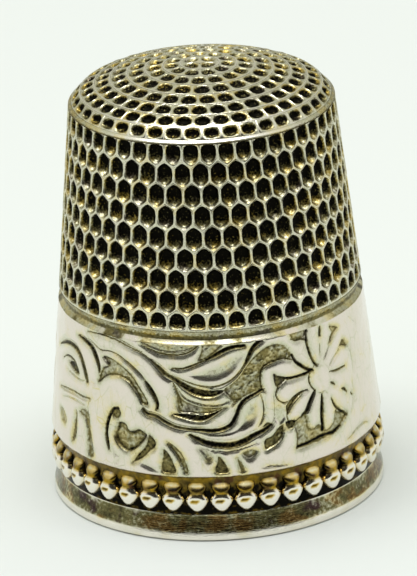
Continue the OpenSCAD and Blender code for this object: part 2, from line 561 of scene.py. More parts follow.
# ---------------------------------------------------------------------------------------------
# Geometry Nodes: one tree lays a small piece on many marks
# ---------------------------------------------------------------------------------------------

@dataclass(frozen=True)
class Placer:
    """Builds and runs the tree that sets copies of one small piece on marked places.

    Each mark is a vertex with two attributes: "size" scales the copy and "turn" rotates it.
    """

    name: str = "set_on_marks"
    seed: int = 7

    def tree(self) -> Tree:
        """Build the Geometry Nodes tree on the first call.

        Returns:
            The tree, which turns marks into copies of a piece as one dressed mesh.
        """
        if self.name in bpy.data.node_groups:
            return bpy.data.node_groups[self.name]
        tree = bpy.data.node_groups.new(self.name, "GeometryNodeTree")
        face = tree.interface
        face.new_socket("Marks", in_out="INPUT", socket_type="NodeSocketGeometry")
        face.new_socket("Piece", in_out="INPUT", socket_type="NodeSocketObject")
        face.new_socket("Depth Spread", in_out="INPUT", socket_type="NodeSocketFloat")
        face.new_socket("Seed", in_out="INPUT", socket_type="NodeSocketInt")
        face.new_socket("Finish", in_out="INPUT", socket_type="NodeSocketMaterial")
        face.new_socket("Set Pieces", in_out="OUTPUT", socket_type="NodeSocketGeometry")
        given = add(tree, "NodeGroupInput").outputs
        piece = add(tree, "GeometryNodeObjectInfo", None, {"Object": given["Piece"]})
        size = add(tree, "GeometryNodeInputNamedAttribute", {"data_type": "FLOAT_VECTOR"},
                   {"Name": "size"})
        turn = add(tree, "GeometryNodeInputNamedAttribute", {"data_type": "FLOAT_VECTOR"},
                   {"Name": "turn"})
        least = add(tree, "ShaderNodeMath", {"operation": "SUBTRACT"},
                    {0: 1.0, 1: given["Depth Spread"]})
        most = add(tree, "ShaderNodeMath", {"operation": "ADD"},
                   {0: 1.0, 1: given["Depth Spread"]})
        depth = add(tree, "FunctionNodeRandomValue", {"data_type": "FLOAT"},
                    {2: least.outputs[0], 3: most.outputs[0], "Seed": given["Seed"]})
        scale = add(tree, "ShaderNodeCombineXYZ", None, {"X": 1.0, "Y": 1.0,
                                                       "Z": depth.outputs[1]})
        full = add(tree, "ShaderNodeVectorMath", {"operation": "MULTIPLY"},
                   {0: size.outputs[0], 1: scale.outputs[0]})
        copies = add(tree, "GeometryNodeInstanceOnPoints", None,
                     {"Points": given["Marks"], "Instance": piece.outputs["Geometry"],
                      "Rotation": turn.outputs[0], "Scale": full.outputs[0]})
        real = add(tree, "GeometryNodeRealizeInstances", None,
                   {"Geometry": copies.outputs["Instances"]})
        dressed = add(tree, "GeometryNodeSetMaterial", None,
                      {"Geometry": real.outputs["Geometry"], "Material": given["Finish"]})
        add(tree, "NodeGroupOutput", None, {"Set Pieces": dressed.outputs["Geometry"]})
        return tree

    def place(self, tile: Shell, marks: np.ndarray, sizes: np.ndarray, turns: np.ndarray,
              spread: float, finish: Material) -> Shell:
        """Set one copy of a tile on each mark.

        Args:
            tile: the small piece, round its own origin.
            marks: where each copy goes.
            sizes: three scale factors for each copy.
            turns: three angles in radians for each copy.
            spread: share by which a copy's depth may differ from the tile's.
            finish: the material of the copies.

        Returns:
            All the copies as one shell, in the marks' units.
        """
        tile_mesh = bpy.data.meshes.new("tile")
        tile_mesh.from_pydata(tile.points.tolist(), [], tile.faces)
        tile_mesh.attributes.new("tarnish", "FLOAT", "POINT").data.foreach_set(
            "value", tile.tarnish.astype(np.float32))
        tile_object = bpy.data.objects.new("tile", tile_mesh)
        mark_mesh = bpy.data.meshes.new("marks")
        mark_mesh.from_pydata(marks.tolist(), [], [])
        for label, values in (("size", sizes), ("turn", turns)):
            layer = mark_mesh.attributes.new(label, "FLOAT_VECTOR", "POINT")
            layer.data.foreach_set("vector", values.astype(np.float32).ravel())
        holder = bpy.data.objects.new("marks", mark_mesh)
        for thing in (tile_object, holder):
            bpy.context.scene.collection.objects.link(thing)
        tree = self.tree()
        modifier = holder.modifiers.new("set", "NODES")
        modifier.node_group = tree
        keys = {item.name: item.identifier for item in tree.interface.items_tree
                if item.in_out == "INPUT"}
        modifier[keys["Piece"]] = tile_object
        modifier[keys["Depth Spread"]] = spread
        modifier[keys["Seed"]] = self.seed
        modifier[keys["Finish"]] = finish
        graph = bpy.context.evaluated_depsgraph_get()
        result = bpy.data.meshes.new_from_object(holder.evaluated_get(graph))
        holder.modifiers.clear()
        points = np.empty(len(result.vertices) * 3)
        result.vertices.foreach_get("co", points)
        tarnish = np.empty(len(result.vertices))
        result.attributes["tarnish"].data.foreach_get("value", tarnish)
        faces = [tuple(face.vertices) for face in result.polygons]
        for thing in (tile_object, holder):
            bpy.data.objects.remove(thing)
        for mesh in (tile_mesh, mark_mesh, result):
            bpy.data.meshes.remove(mesh)
        return Shell(points.reshape(-1, 3), faces, tarnish)


@dataclass(frozen=True)
class PitTile:
    """One pit with its share of the web round it, flat, across x, up y and out of the face z.

    The cell is a convex outline. The pit's own outline follows the cell at a distance and has
    round corners. x is in cell widths, so that a tile fits any row. One odd side may have a
    web of its own: its share of the others' and a shift in millimetres.
    """

    cell: Outline
    splits: tuple[int, ...]
    width_mm: float
    web_mm: float = 0.13
    depth_mm: float = 0.3
    roundness: float = 10.0
    slope: tuple[float, float] = (1.7, 3.2)
    web_tone: float = 0.38
    # Tarnish taken off the lower wall of a pit: a painted highlight.
    lower_wall_highlight: float = 0.74
    lips: tuple[float, float] = (-0.24, 0.08)
    odd_side: int = -1
    odd_share: float = 1.0
    odd_shift: float = 0.0

    def outline(self) -> np.ndarray:
        """Split each side of the cell as the neighbours split theirs.

        Returns:
            The cell's outline, one row for each point.
        """
        corners = list(self.cell)
        out = []
        for here, there, count in zip(corners, corners[1:] + corners[:1], self.splits):
            for i in range(count):
                t = i / count
                out.append((here[0] + (there[0] - here[0]) * t,
                            here[1] + (there[1] - here[1]) * t))
        return np.array(out)

    def ring(self, flat: np.ndarray, margin: float, roundness: float) -> np.ndarray:
        """Draw a ring inside the cell.

        Args:
            flat: points of the cell's outline, which set the ring's directions.
            margin: distance from the cell's sides in millimetres.
            roundness: 2 for an ellipse, and larger for sharper corners.

        Returns:
            The ring, one row for each point.
        """
        corners = np.array(self.cell) * (self.width_mm, 1.0)
        sides = np.roll(corners, -1, axis=0) - corners
        normals = np.stack([sides[:, 1], -sides[:, 0]], axis=1)
        normals /= np.linalg.norm(normals, axis=1)[:, None]
        margins = np.full(len(corners), margin)
        if self.odd_side >= 0:
            margins[self.odd_side] = margin * self.odd_share + self.odd_shift
        offsets = (normals * corners).sum(axis=1) - margins
        reach = flat * (self.width_mm, 1.0)
        reach = reach / np.linalg.norm(reach, axis=1)[:, None]
        share = np.maximum(reach @ normals.T, 0) / offsets
        radius = (share ** roundness).sum(axis=1) ** (-1 / roundness)
        return reach * radius[:, None] / (self.width_mm, 1.0)

    def build(self) -> Shell:
        """Build the flat web, rounded lip, steep wall and shallow floor.

        Returns:
            The tile, open at its edge.
        """
        edge = self.outline()
        count = len(edge)
        half = self.web_mm / 2
        outer_lip, inner_lip = (self.web_tone + shift for shift in self.lips)
        # Margin, height, roundness, tarnish, and how far the painted highlight on the lower wall
        # reaches.
        steps = ((0.45 * half, 0.0, 20.0, outer_lip, 0.0),
                 (1.0 * half, -0.03, self.roundness, inner_lip, 0.0),
                 (self.slope[0] * half, -0.6 * self.depth_mm, self.roundness, 1.15, 1.0),
                 (self.slope[1] * half, -self.depth_mm, 0.7 * self.roundness, 1.25, 0.85))
        layers = [np.column_stack([edge, np.full(count, -0.02)])]
        shades = [np.full(count, self.web_tone)]
        up = edge[:, 1] / np.abs(edge[:, 1]).max()
        for margin, height, corner, tone, lit in steps:
            ring = self.ring(edge, margin, corner)
            layers.append(np.column_stack([ring, np.full(count, height)]))
            # Painted highlight: the lower wall of a pit is made lighter, where it catches the
            # light.
            lift = np.clip(-1.5 * up - 0.3, 0, 1) * self.lower_wall_highlight * lit
            shades.append(np.full(count, tone) - lift)
        points = np.concatenate(layers + [np.array([[0.0, 0.0, -1.04 * self.depth_mm]])])
        faces: list[tuple[int, ...]] = []
        for level in range(len(layers) - 1):
            for i in range(count):
                j = (i + 1) % count
                a, b = level * count, (level + 1) * count
                faces.append((a + i, a + j, b + j, b + i))
        last, middle = (len(layers) - 1) * count, len(points) - 1
        faces += [(last + i, last + (i + 1) % count, middle) for i in range(count)]
        return Shell(points, faces, np.concatenate(shades + [np.array([1.25])]))


# ---------------------------------------------------------------------------------------------
# Pieces
# ---------------------------------------------------------------------------------------------

@dataclass
class KnurledWall:
    """Tapering wall with staggered rows of six-sided pits, and the plain skirt below them."""

    form: Form
    rows: int = 9
    row_pits: int = 48
    top_row_z: float = 21.22
    row_pitch: float = 1.144
    half_side: float = 0.39
    stagger: float = 0.25
    true_width_z: float = 16.5
    cove_h: float = 0.35
    cove_depth: float = 0.17
    pit_depth: float = 0.3
    depth_spread: float = 0.12

    @property
    def foot_z(self) -> float:
        """Return the height where the pitted zone ends."""
        return self.form.band_top_z + self.cove_h

    @property
    def crest_z(self) -> float:
        """Return the height of the wall's top face."""
        return self.form.cap_seat_z - self.form.film

    def tiles(self) -> dict[str, PitTile]:
        """Describe the pits of each kind of row.

        The middle rows' cells have six sides. The first and the last rows' cells end in a
        straight side, at the cap and at the cove.

        Returns:
            The tiles of the first, the middle and the last rows.
        """
        side = self.half_side
        peak = self.row_pitch - side
        rise = self.crest_z - self.top_row_z
        fall = self.top_row_z - (self.rows - 1) * self.row_pitch - self.foot_z
        width = math.radians(360 / self.row_pits) * self.form.cone(self.true_width_z)
        middle = ((0.5, -side), (0.5, side), (0.0, peak), (-0.5, side), (-0.5, -side),
                  (0.0, -peak))
        first = ((0.5, -side), (0.5, rise), (-0.5, rise), (-0.5, -side), (0.0, -peak))
        last = ((0.5, -fall), (0.5, side), (0.0, peak), (-0.5, side), (-0.5, -fall))
        return {"first": PitTile(first, (3, 4, 3, 3, 3), width, depth_mm=self.pit_depth,
                                 roundness=4.0, odd_side=1, odd_share=0.2),
                "middle": PitTile(middle, (2, 3, 3, 2, 3, 3), width, depth_mm=self.pit_depth),
                "last": PitTile(last, (3, 3, 3, 3, 4), width, depth_mm=self.pit_depth,
                                roundness=4.0, odd_side=4, odd_shift=0.06)}

    def pits(self, finish: Material) -> Shell:
        """Lay the rows flat with Geometry Nodes and wrap them round the cone.

        Args:
            finish: the material that the tree sets on the tiles.

        Returns:
            The pitted zone, open at its top and foot.
        """
        step = 360 / self.row_pits
        sheets = []
        tiles = self.tiles()
        for key, numbers in (("first", [0]), ("middle", list(range(1, self.rows - 1))),
                             ("last", [self.rows - 1])):
            marks = []
            for row in numbers:
                shift = self.stagger if row % 2 == 0 else -self.stagger
                z = self.top_row_z - row * self.row_pitch
                marks += [((i + shift) * step, z, 0.0) for i in range(self.row_pits)]
            place = np.array(marks)
            sizes = np.tile((step, 1.0, 1.0), (len(place), 1))
            sheets.append(Placer(seed=11).place(tiles[key].build(), place, sizes,
                                                np.zeros_like(place), self.depth_spread,
                                                finish))
        sheet = Shell.joined(sheets)
        turn, z, out = np.radians(sheet.points[:, 0]), sheet.points[:, 1], sheet.points[:, 2]
        radius = self.form.cone_r - self.form.taper * z + out
        sheet.points = np.column_stack([radius * np.sin(turn), -radius * np.cos(turn), z])
        return sheet

    def plain(self) -> Shell:
        """Turn the rest of the wall: cove, skirt, foot, cavity and the seat for the cap.

        Returns:
            A shell that closes the pitted zone from its foot round to its top.
        """
        form = self.form
        top = form.band_top_z
        cove_r = form.cone(top) - self.cove_depth
        throat = form.throat_z
        bore = form.throat_r + 0.08
        rows = [(form.cone(self.foot_z), self.foot_z, Tarnish.BARE),
                (form.cone(self.foot_z) - 0.04, self.foot_z - 0.05, Tarnish.TINTED),
                (cove_r + 0.05, self.foot_z - 0.14, 0.4),
                (cove_r, self.foot_z - 0.24, 0.48),
                (cove_r, top, Tarnish.BROWN),
                (form.cone(top) - form.band_wall - form.film, top, Tarnish.GOLDEN),
                (form.backing_r, form.band_foot_z, Tarnish.GOLDEN),
                (form.backing_r, form.ledge_z + form.film, Tarnish.GOLDEN),
                (form.cavity(form.ledge_z + form.film), form.ledge_z + form.film,
                 Tarnish.TINTED)]
        for share in np.linspace(0, 1, 12)[1:-1]:
            z = form.ledge_z + (throat - form.ledge_z) * share
            rows.append((form.cavity(z), z, Tarnish.TINTED))
        rows += [(form.throat_r, throat, Tarnish.GOLDEN), (bore, throat, Tarnish.GOLDEN),
                 (bore, self.crest_z, Tarnish.GOLDEN),
                 (form.cone(self.crest_z), self.crest_z, Tarnish.TINTED)]
        profile = np.array([row[:2] for row in rows])
        tarnish = np.array([float(row[2]) for row in rows])
        return turned(profile, tarnish, 4 * self.row_pits, closed=False)

    def build(self, finish: Material) -> bpy.types.Object:
        """Weld the pitted zone to the plain rest and dress the wall.

        Args:
            finish: the wall's material.

        Returns:
            The wall.
        """
        whole = Shell.joined([self.pits(finish), self.plain()])
        piece = whole.to_object("knurled_wall", weld=0.004)
        piece.data.materials.clear()
        piece.data.materials.append(finish)
        return piece


@dataclass
class PittedCap:
    """Struck dome with rings of round pits, closed below by its smooth inner face."""

    form: Form
    crown_r: float = 17.0
    shoulder_r: float = 1.7
    shoulder_edge_r: float = 7.12
    wall: float = 0.55
    ring_radii: tuple[float, ...] = (0.6, 1.5, 2.42, 3.4, 4.35, 5.25, 6.06, 6.72)
    ring_pits: tuple[int, ...] = (4, 11, 17, 21, 28, 34, 39, 42)
    ring_turns: tuple[float, ...] = (-46.0, 16.2, -2.5, 0.7, 4.0, -1.5, 0.0, 3.8)
    centre_s: float = 0.18
    last_half: float = 0.38
    web_mm: float = 0.145
    edge_web_mm: float = 0.2
    pit_depth: float = 0.24
    depth_spread: float = 0.15
    cell_splits: int = 4
    seam: float = 0.02

    def __post_init__(self) -> None:
        """Work out where crown and shoulder meet."""
        self.crown_z = self.form.height - self.crown_r
        self.shoulder_x = self.shoulder_edge_r - self.shoulder_r
        self.shoulder_z = self.crown_z + math.sqrt(
            (self.crown_r - self.shoulder_r) ** 2 - self.shoulder_x ** 2)
        self.join = math.atan2(self.shoulder_x, self.shoulder_z - self.crown_z)
        self.join_s = self.crown_r * self.join

    def surface(self, s: np.ndarray, sink: np.ndarray) -> tuple[np.ndarray, np.ndarray]:
        """Find points of the dome's section.

        Args:
            s: distance along the outer surface from the top.
            sink: depth below that surface.

        Returns:
            Radius and height of each point.
        """
        on_crown = s < self.join_s
        angle = np.where(on_crown, s / self.crown_r,
                         self.join + (s - self.join_s) / self.shoulder_r)
        centre_x = np.where(on_crown, 0.0, self.shoulder_x)
        centre_z = np.where(on_crown, self.crown_z, self.shoulder_z)
        bend = np.where(on_crown, self.crown_r, self.shoulder_r) - sink
        return centre_x + bend * np.sin(angle), centre_z + bend * np.cos(angle)

    def along(self, r: float) -> float:
        """Measure along the surface from the top.

        Args:
            r: a radius on the dome.

        Returns:
            The distance to that radius.
        """
        if r < self.crown_r * math.sin(self.join):
            return self.crown_r * math.asin(r / self.crown_r)
        lean = math.asin((r - self.shoulder_x) / self.shoulder_r)
        return self.join_s + self.shoulder_r * (lean - self.join)

    def limits(self) -> list[float]:
        """Return the distances from the top between which the rings of pits lie."""
        middles = [self.along(r) for r in self.ring_radii]
        between = [(a + b) / 2 for a, b in zip(middles, middles[1:])]
        return [self.centre_s, *between, middles[-1] + self.last_half]

    def tile(self, web_mm: float) -> Shell:
        """Build one round pit in a square cell.

        Args:
            web_mm: width of the web between two pits.

        Returns:
            The tile.
        """
        reach = 0.5
        cell = ((reach, -reach), (reach, reach), (-reach, reach), (-reach, -reach))
        # The lower wall of each pit gets a weaker painted highlight than on the side wall.
        return PitTile(cell, (self.cell_splits,) * 4, 1.0, web_mm=web_mm,
                       depth_mm=self.pit_depth, roundness=2.05, slope=(1.6, 2.9), web_tone=0.18,
                       lower_wall_highlight=0.45, lips=(0.02, 0.36)).build()

    def rings(self, limits: list[float], finish: Material) -> Shell:
        """Lay the rings of pits flat with Geometry Nodes and wrap them over the dome.

        Args:
            limits: distances from the top between which the rings lie.
            finish: the material that the tree sets on the tiles.

        Returns:
            The rings, with a narrow gap between each two.
        """
        wide, narrow = self.tile(self.web_mm), self.tile(self.edge_web_mm)
        shells = []
        for i, (count, turn) in enumerate(zip(self.ring_pits, self.ring_turns)):
            low, high = limits[i] + self.seam, limits[i + 1] - self.seam
            step = 360 / count
            marks = np.array([(turn + k * step, -(low + high) / 2, 0.0) for k in range(count)])
            sizes = np.tile((step, high - low, 1.0), (count, 1))
            tile = narrow if i == len(self.ring_pits) - 1 else wide
            ring = Placer(seed=20 + i).place(tile, marks, sizes, np.zeros_like(marks),
                                             self.depth_spread, finish)
            # Pits near the top are worn by needles, so they are shallower and less black.
            ring.tarnish = ring.tarnish * min(1.0, 0.7 + 0.05 * i)
            ring.points[:, 2] *= min(1.0, 0.75 + 0.05 * i)
            shells.append(ring)
        sheet = Shell.joined(shells)
        turn, s = np.radians(sheet.points[:, 0]), -sheet.points[:, 1]
        radius, z = self.surface(s, -sheet.points[:, 2])
        sheet.points = np.column_stack([radius * np.sin(turn), -radius * np.cos(turn), z])
        return sheet

    def build(self, finish: Material) -> bpy.types.Object:
        """Lay the rings, stitch them together, and close the shell.

        Args:
            finish: the cap's material.

        Returns:
            The cap.
        """
        limits = self.limits()
        stitched = [zipped(self.circle(limits[i] - self.seam, i - 1),
                           self.circle(limits[i] + self.seam, i))
                    for i in range(1, len(self.ring_pits))]
        whole = Shell.joined([self.rings(limits, finish), self.centre(limits[0] + self.seam),
                              *stitched, self.rest(limits[-1] - self.seam)])
        piece = whole.to_object("pitted_cap", weld=0.003)
        piece.data.materials.append(finish)
        return piece

    def circle(self, s: float, ring: int) -> np.ndarray:
        """Find the points that a ring of tiles has on one of its edges.

        Args:
            s: distance along the surface from the top to the edge.
            ring: number of the ring.

        Returns:
            The points, in order of angle.
        """
        count = self.ring_pits[ring] * self.cell_splits
        start = self.ring_turns[ring] - 180 / self.ring_pits[ring]
        turn = np.radians(start + np.arange(count) * 360 / count)
        radius, z = self.surface(np.full(count, s), np.zeros(count))
        return np.column_stack([radius * np.sin(turn), -radius * np.cos(turn), z])

    def centre(self, s: float) -> Shell:
        """Fill the small disc inside the innermost ring.

        Args:
            s: distance along the surface from the top to the disc's edge.

        Returns:
            The disc.
        """
        edge = self.circle(s, 0)
        points = np.concatenate([edge, [[0.0, 0.0, self.form.height]]])
        count = len(edge)
        faces = [(i, (i + 1) % count, count) for i in range(count)]
        return Shell(points, faces, np.full(count + 1, 0.15))

    def rest(self, s: float) -> Shell:
        """Turn the rounded edge, the seat, the spigot and the inner face.

        Args:
            s: distance along the surface from the top to the last ring's edge.

        Returns:
            A shell that closes the dome below.
        """
        form = self.form
        spigot_r = form.throat_r + 0.02
        foot = form.throat_z + form.film
        start_r, start_z = (float(v) for v in self.surface(np.array(s), np.array(0.0)))
        # Below the last ring the edge is burnished to a slope: how far out, how far down, tarnish.
        slope = ((0.0, 0.0, 0.0), (0.03, 0.01, 0.0), (0.085, 0.05, 0.0), (0.15, 0.1, 0.0),
                 (0.165, 0.12, 0.2))
        rows = [(start_r + out, start_z - down, tone) for out, down, tone in slope]
        rows += [(rows[-1][0], form.cap_seat_z, 0.4), (spigot_r, form.cap_seat_z, 0.5),
                 (spigot_r, foot, 0.5)]
        inner_r = spigot_r - self.wall + 0.05
        rows.append((inner_r, foot, 0.4))
        lean = math.asin((inner_r - self.shoulder_x) / (self.shoulder_r - self.wall))
        last_s = self.join_s + self.shoulder_r * (lean - self.join)
        for share in np.linspace(1, 0, 14):
            r, z = self.surface(np.array(last_s * share), np.array(self.wall))
            rows.append((float(r), float(z), 0.35))
        profile = np.array([row[:2] for row in rows])
        tarnish = np.array([row[2] for row in rows])
        count = self.ring_pits[-1] * self.cell_splits
        shell = turned(profile, tarnish, count, closed=False)
        # Painted shade: the edge is made darker at the sides, so that it stays bright only at the
        # front and the back.
        turn = np.arctan2(shell.points[:, 0], -shell.points[:, 1])
        side_shaded_edge = (shell.points[:, 2] > form.cap_seat_z) & (shell.tarnish < 0.3)
        shell.tarnish = shell.tarnish + 0.5 * side_shaded_edge * (0.5 - 0.5 * np.cos(2 * turn))
        lead = math.radians(self.ring_turns[-1] - 180 / self.ring_pits[-1])
        spin = np.array(Matrix.Rotation(lead, 3, "Z"))
        shell.points = shell.points @ spin.T
        return shell


def zipped(inner: np.ndarray, outer: np.ndarray) -> Shell:
    """Fill the strip between two closed rings of points with triangles.

    Args:
        inner: points of the inner ring, in order of angle.
        outer: points of the outer ring, in order of angle.

    Returns:
        The strip.
    """
    turn_in = np.degrees(np.arctan2(inner[:, 0], -inner[:, 1]))
    turn_out = np.degrees(np.arctan2(outer[:, 0], -outer[:, 1]))
    base = turn_in[0]
    turn_in = (turn_in - base) % 360
    turn_in[0] = 0.0
    turn_out = (turn_out - base) % 360
    lead = int(np.argmin(turn_out))
    outer, turn_out = np.roll(outer, -lead, axis=0), np.roll(turn_out, -lead)
    a_count, b_count = len(inner), len(outer)
    faces = []
    i = j = 0
    while i < a_count or j < b_count:
        next_in = turn_in[i + 1] if i + 1 < a_count else turn_in[0] + 360
        next_out = turn_out[j + 1] if j + 1 < b_count else turn_out[0] + 360
        here, there = i % a_count, a_count + j % b_count
        if j >= b_count or (i < a_count and next_in <= next_out):
            faces.append((here, there, (i + 1) % a_count))
            i += 1
        else:
            faces.append((here, there, a_count + (j + 1) % b_count))
            j += 1
    return Shell(np.concatenate([inner, outer]), faces, np.zeros(a_count + b_count))


# ---------------------------------------------------------------------------------------------
# The chased band
# ---------------------------------------------------------------------------------------------

@dataclass(frozen=True)
class Cut:
    """A line cut with a chasing tool; points are degrees round the band and height in mm.

    taper is the share of the width left at each end. A line that leans has a long slope on one
    side: +1 on its left, -1 on its right.
    """

    path: Outline
    width: float
    depth: float = 0.12
    tarnish: float = 0.9
    taper: tuple[float, float] = (0.35, 0.35)
    lean: float = 0.0


@dataclass(frozen=True)
class Sunk:
    """An area of ground punched down round the ornament.

    floor and rim are its tarnish inside and along its rim, and edge is the width of its slope.
    """

    outline: Outline
    depth: float = 0.12
    floor: float = 0.5
    rim: float = 0.95
    stipple: float = 0.02
    edge: float = 0.07


@dataclass(frozen=True)
class Dished:
    """A leaf's face, hollowed gently, or swelling where the depth is negative.

    reach is the distance from its outline at which it is deepest, and the last value is painted
    shade that darkens the hollow, most where it is deepest.
    """

    outline: Outline
    depth: float = 0.05
    reach: float = 0.45
    hollow_shade: float = 0.12


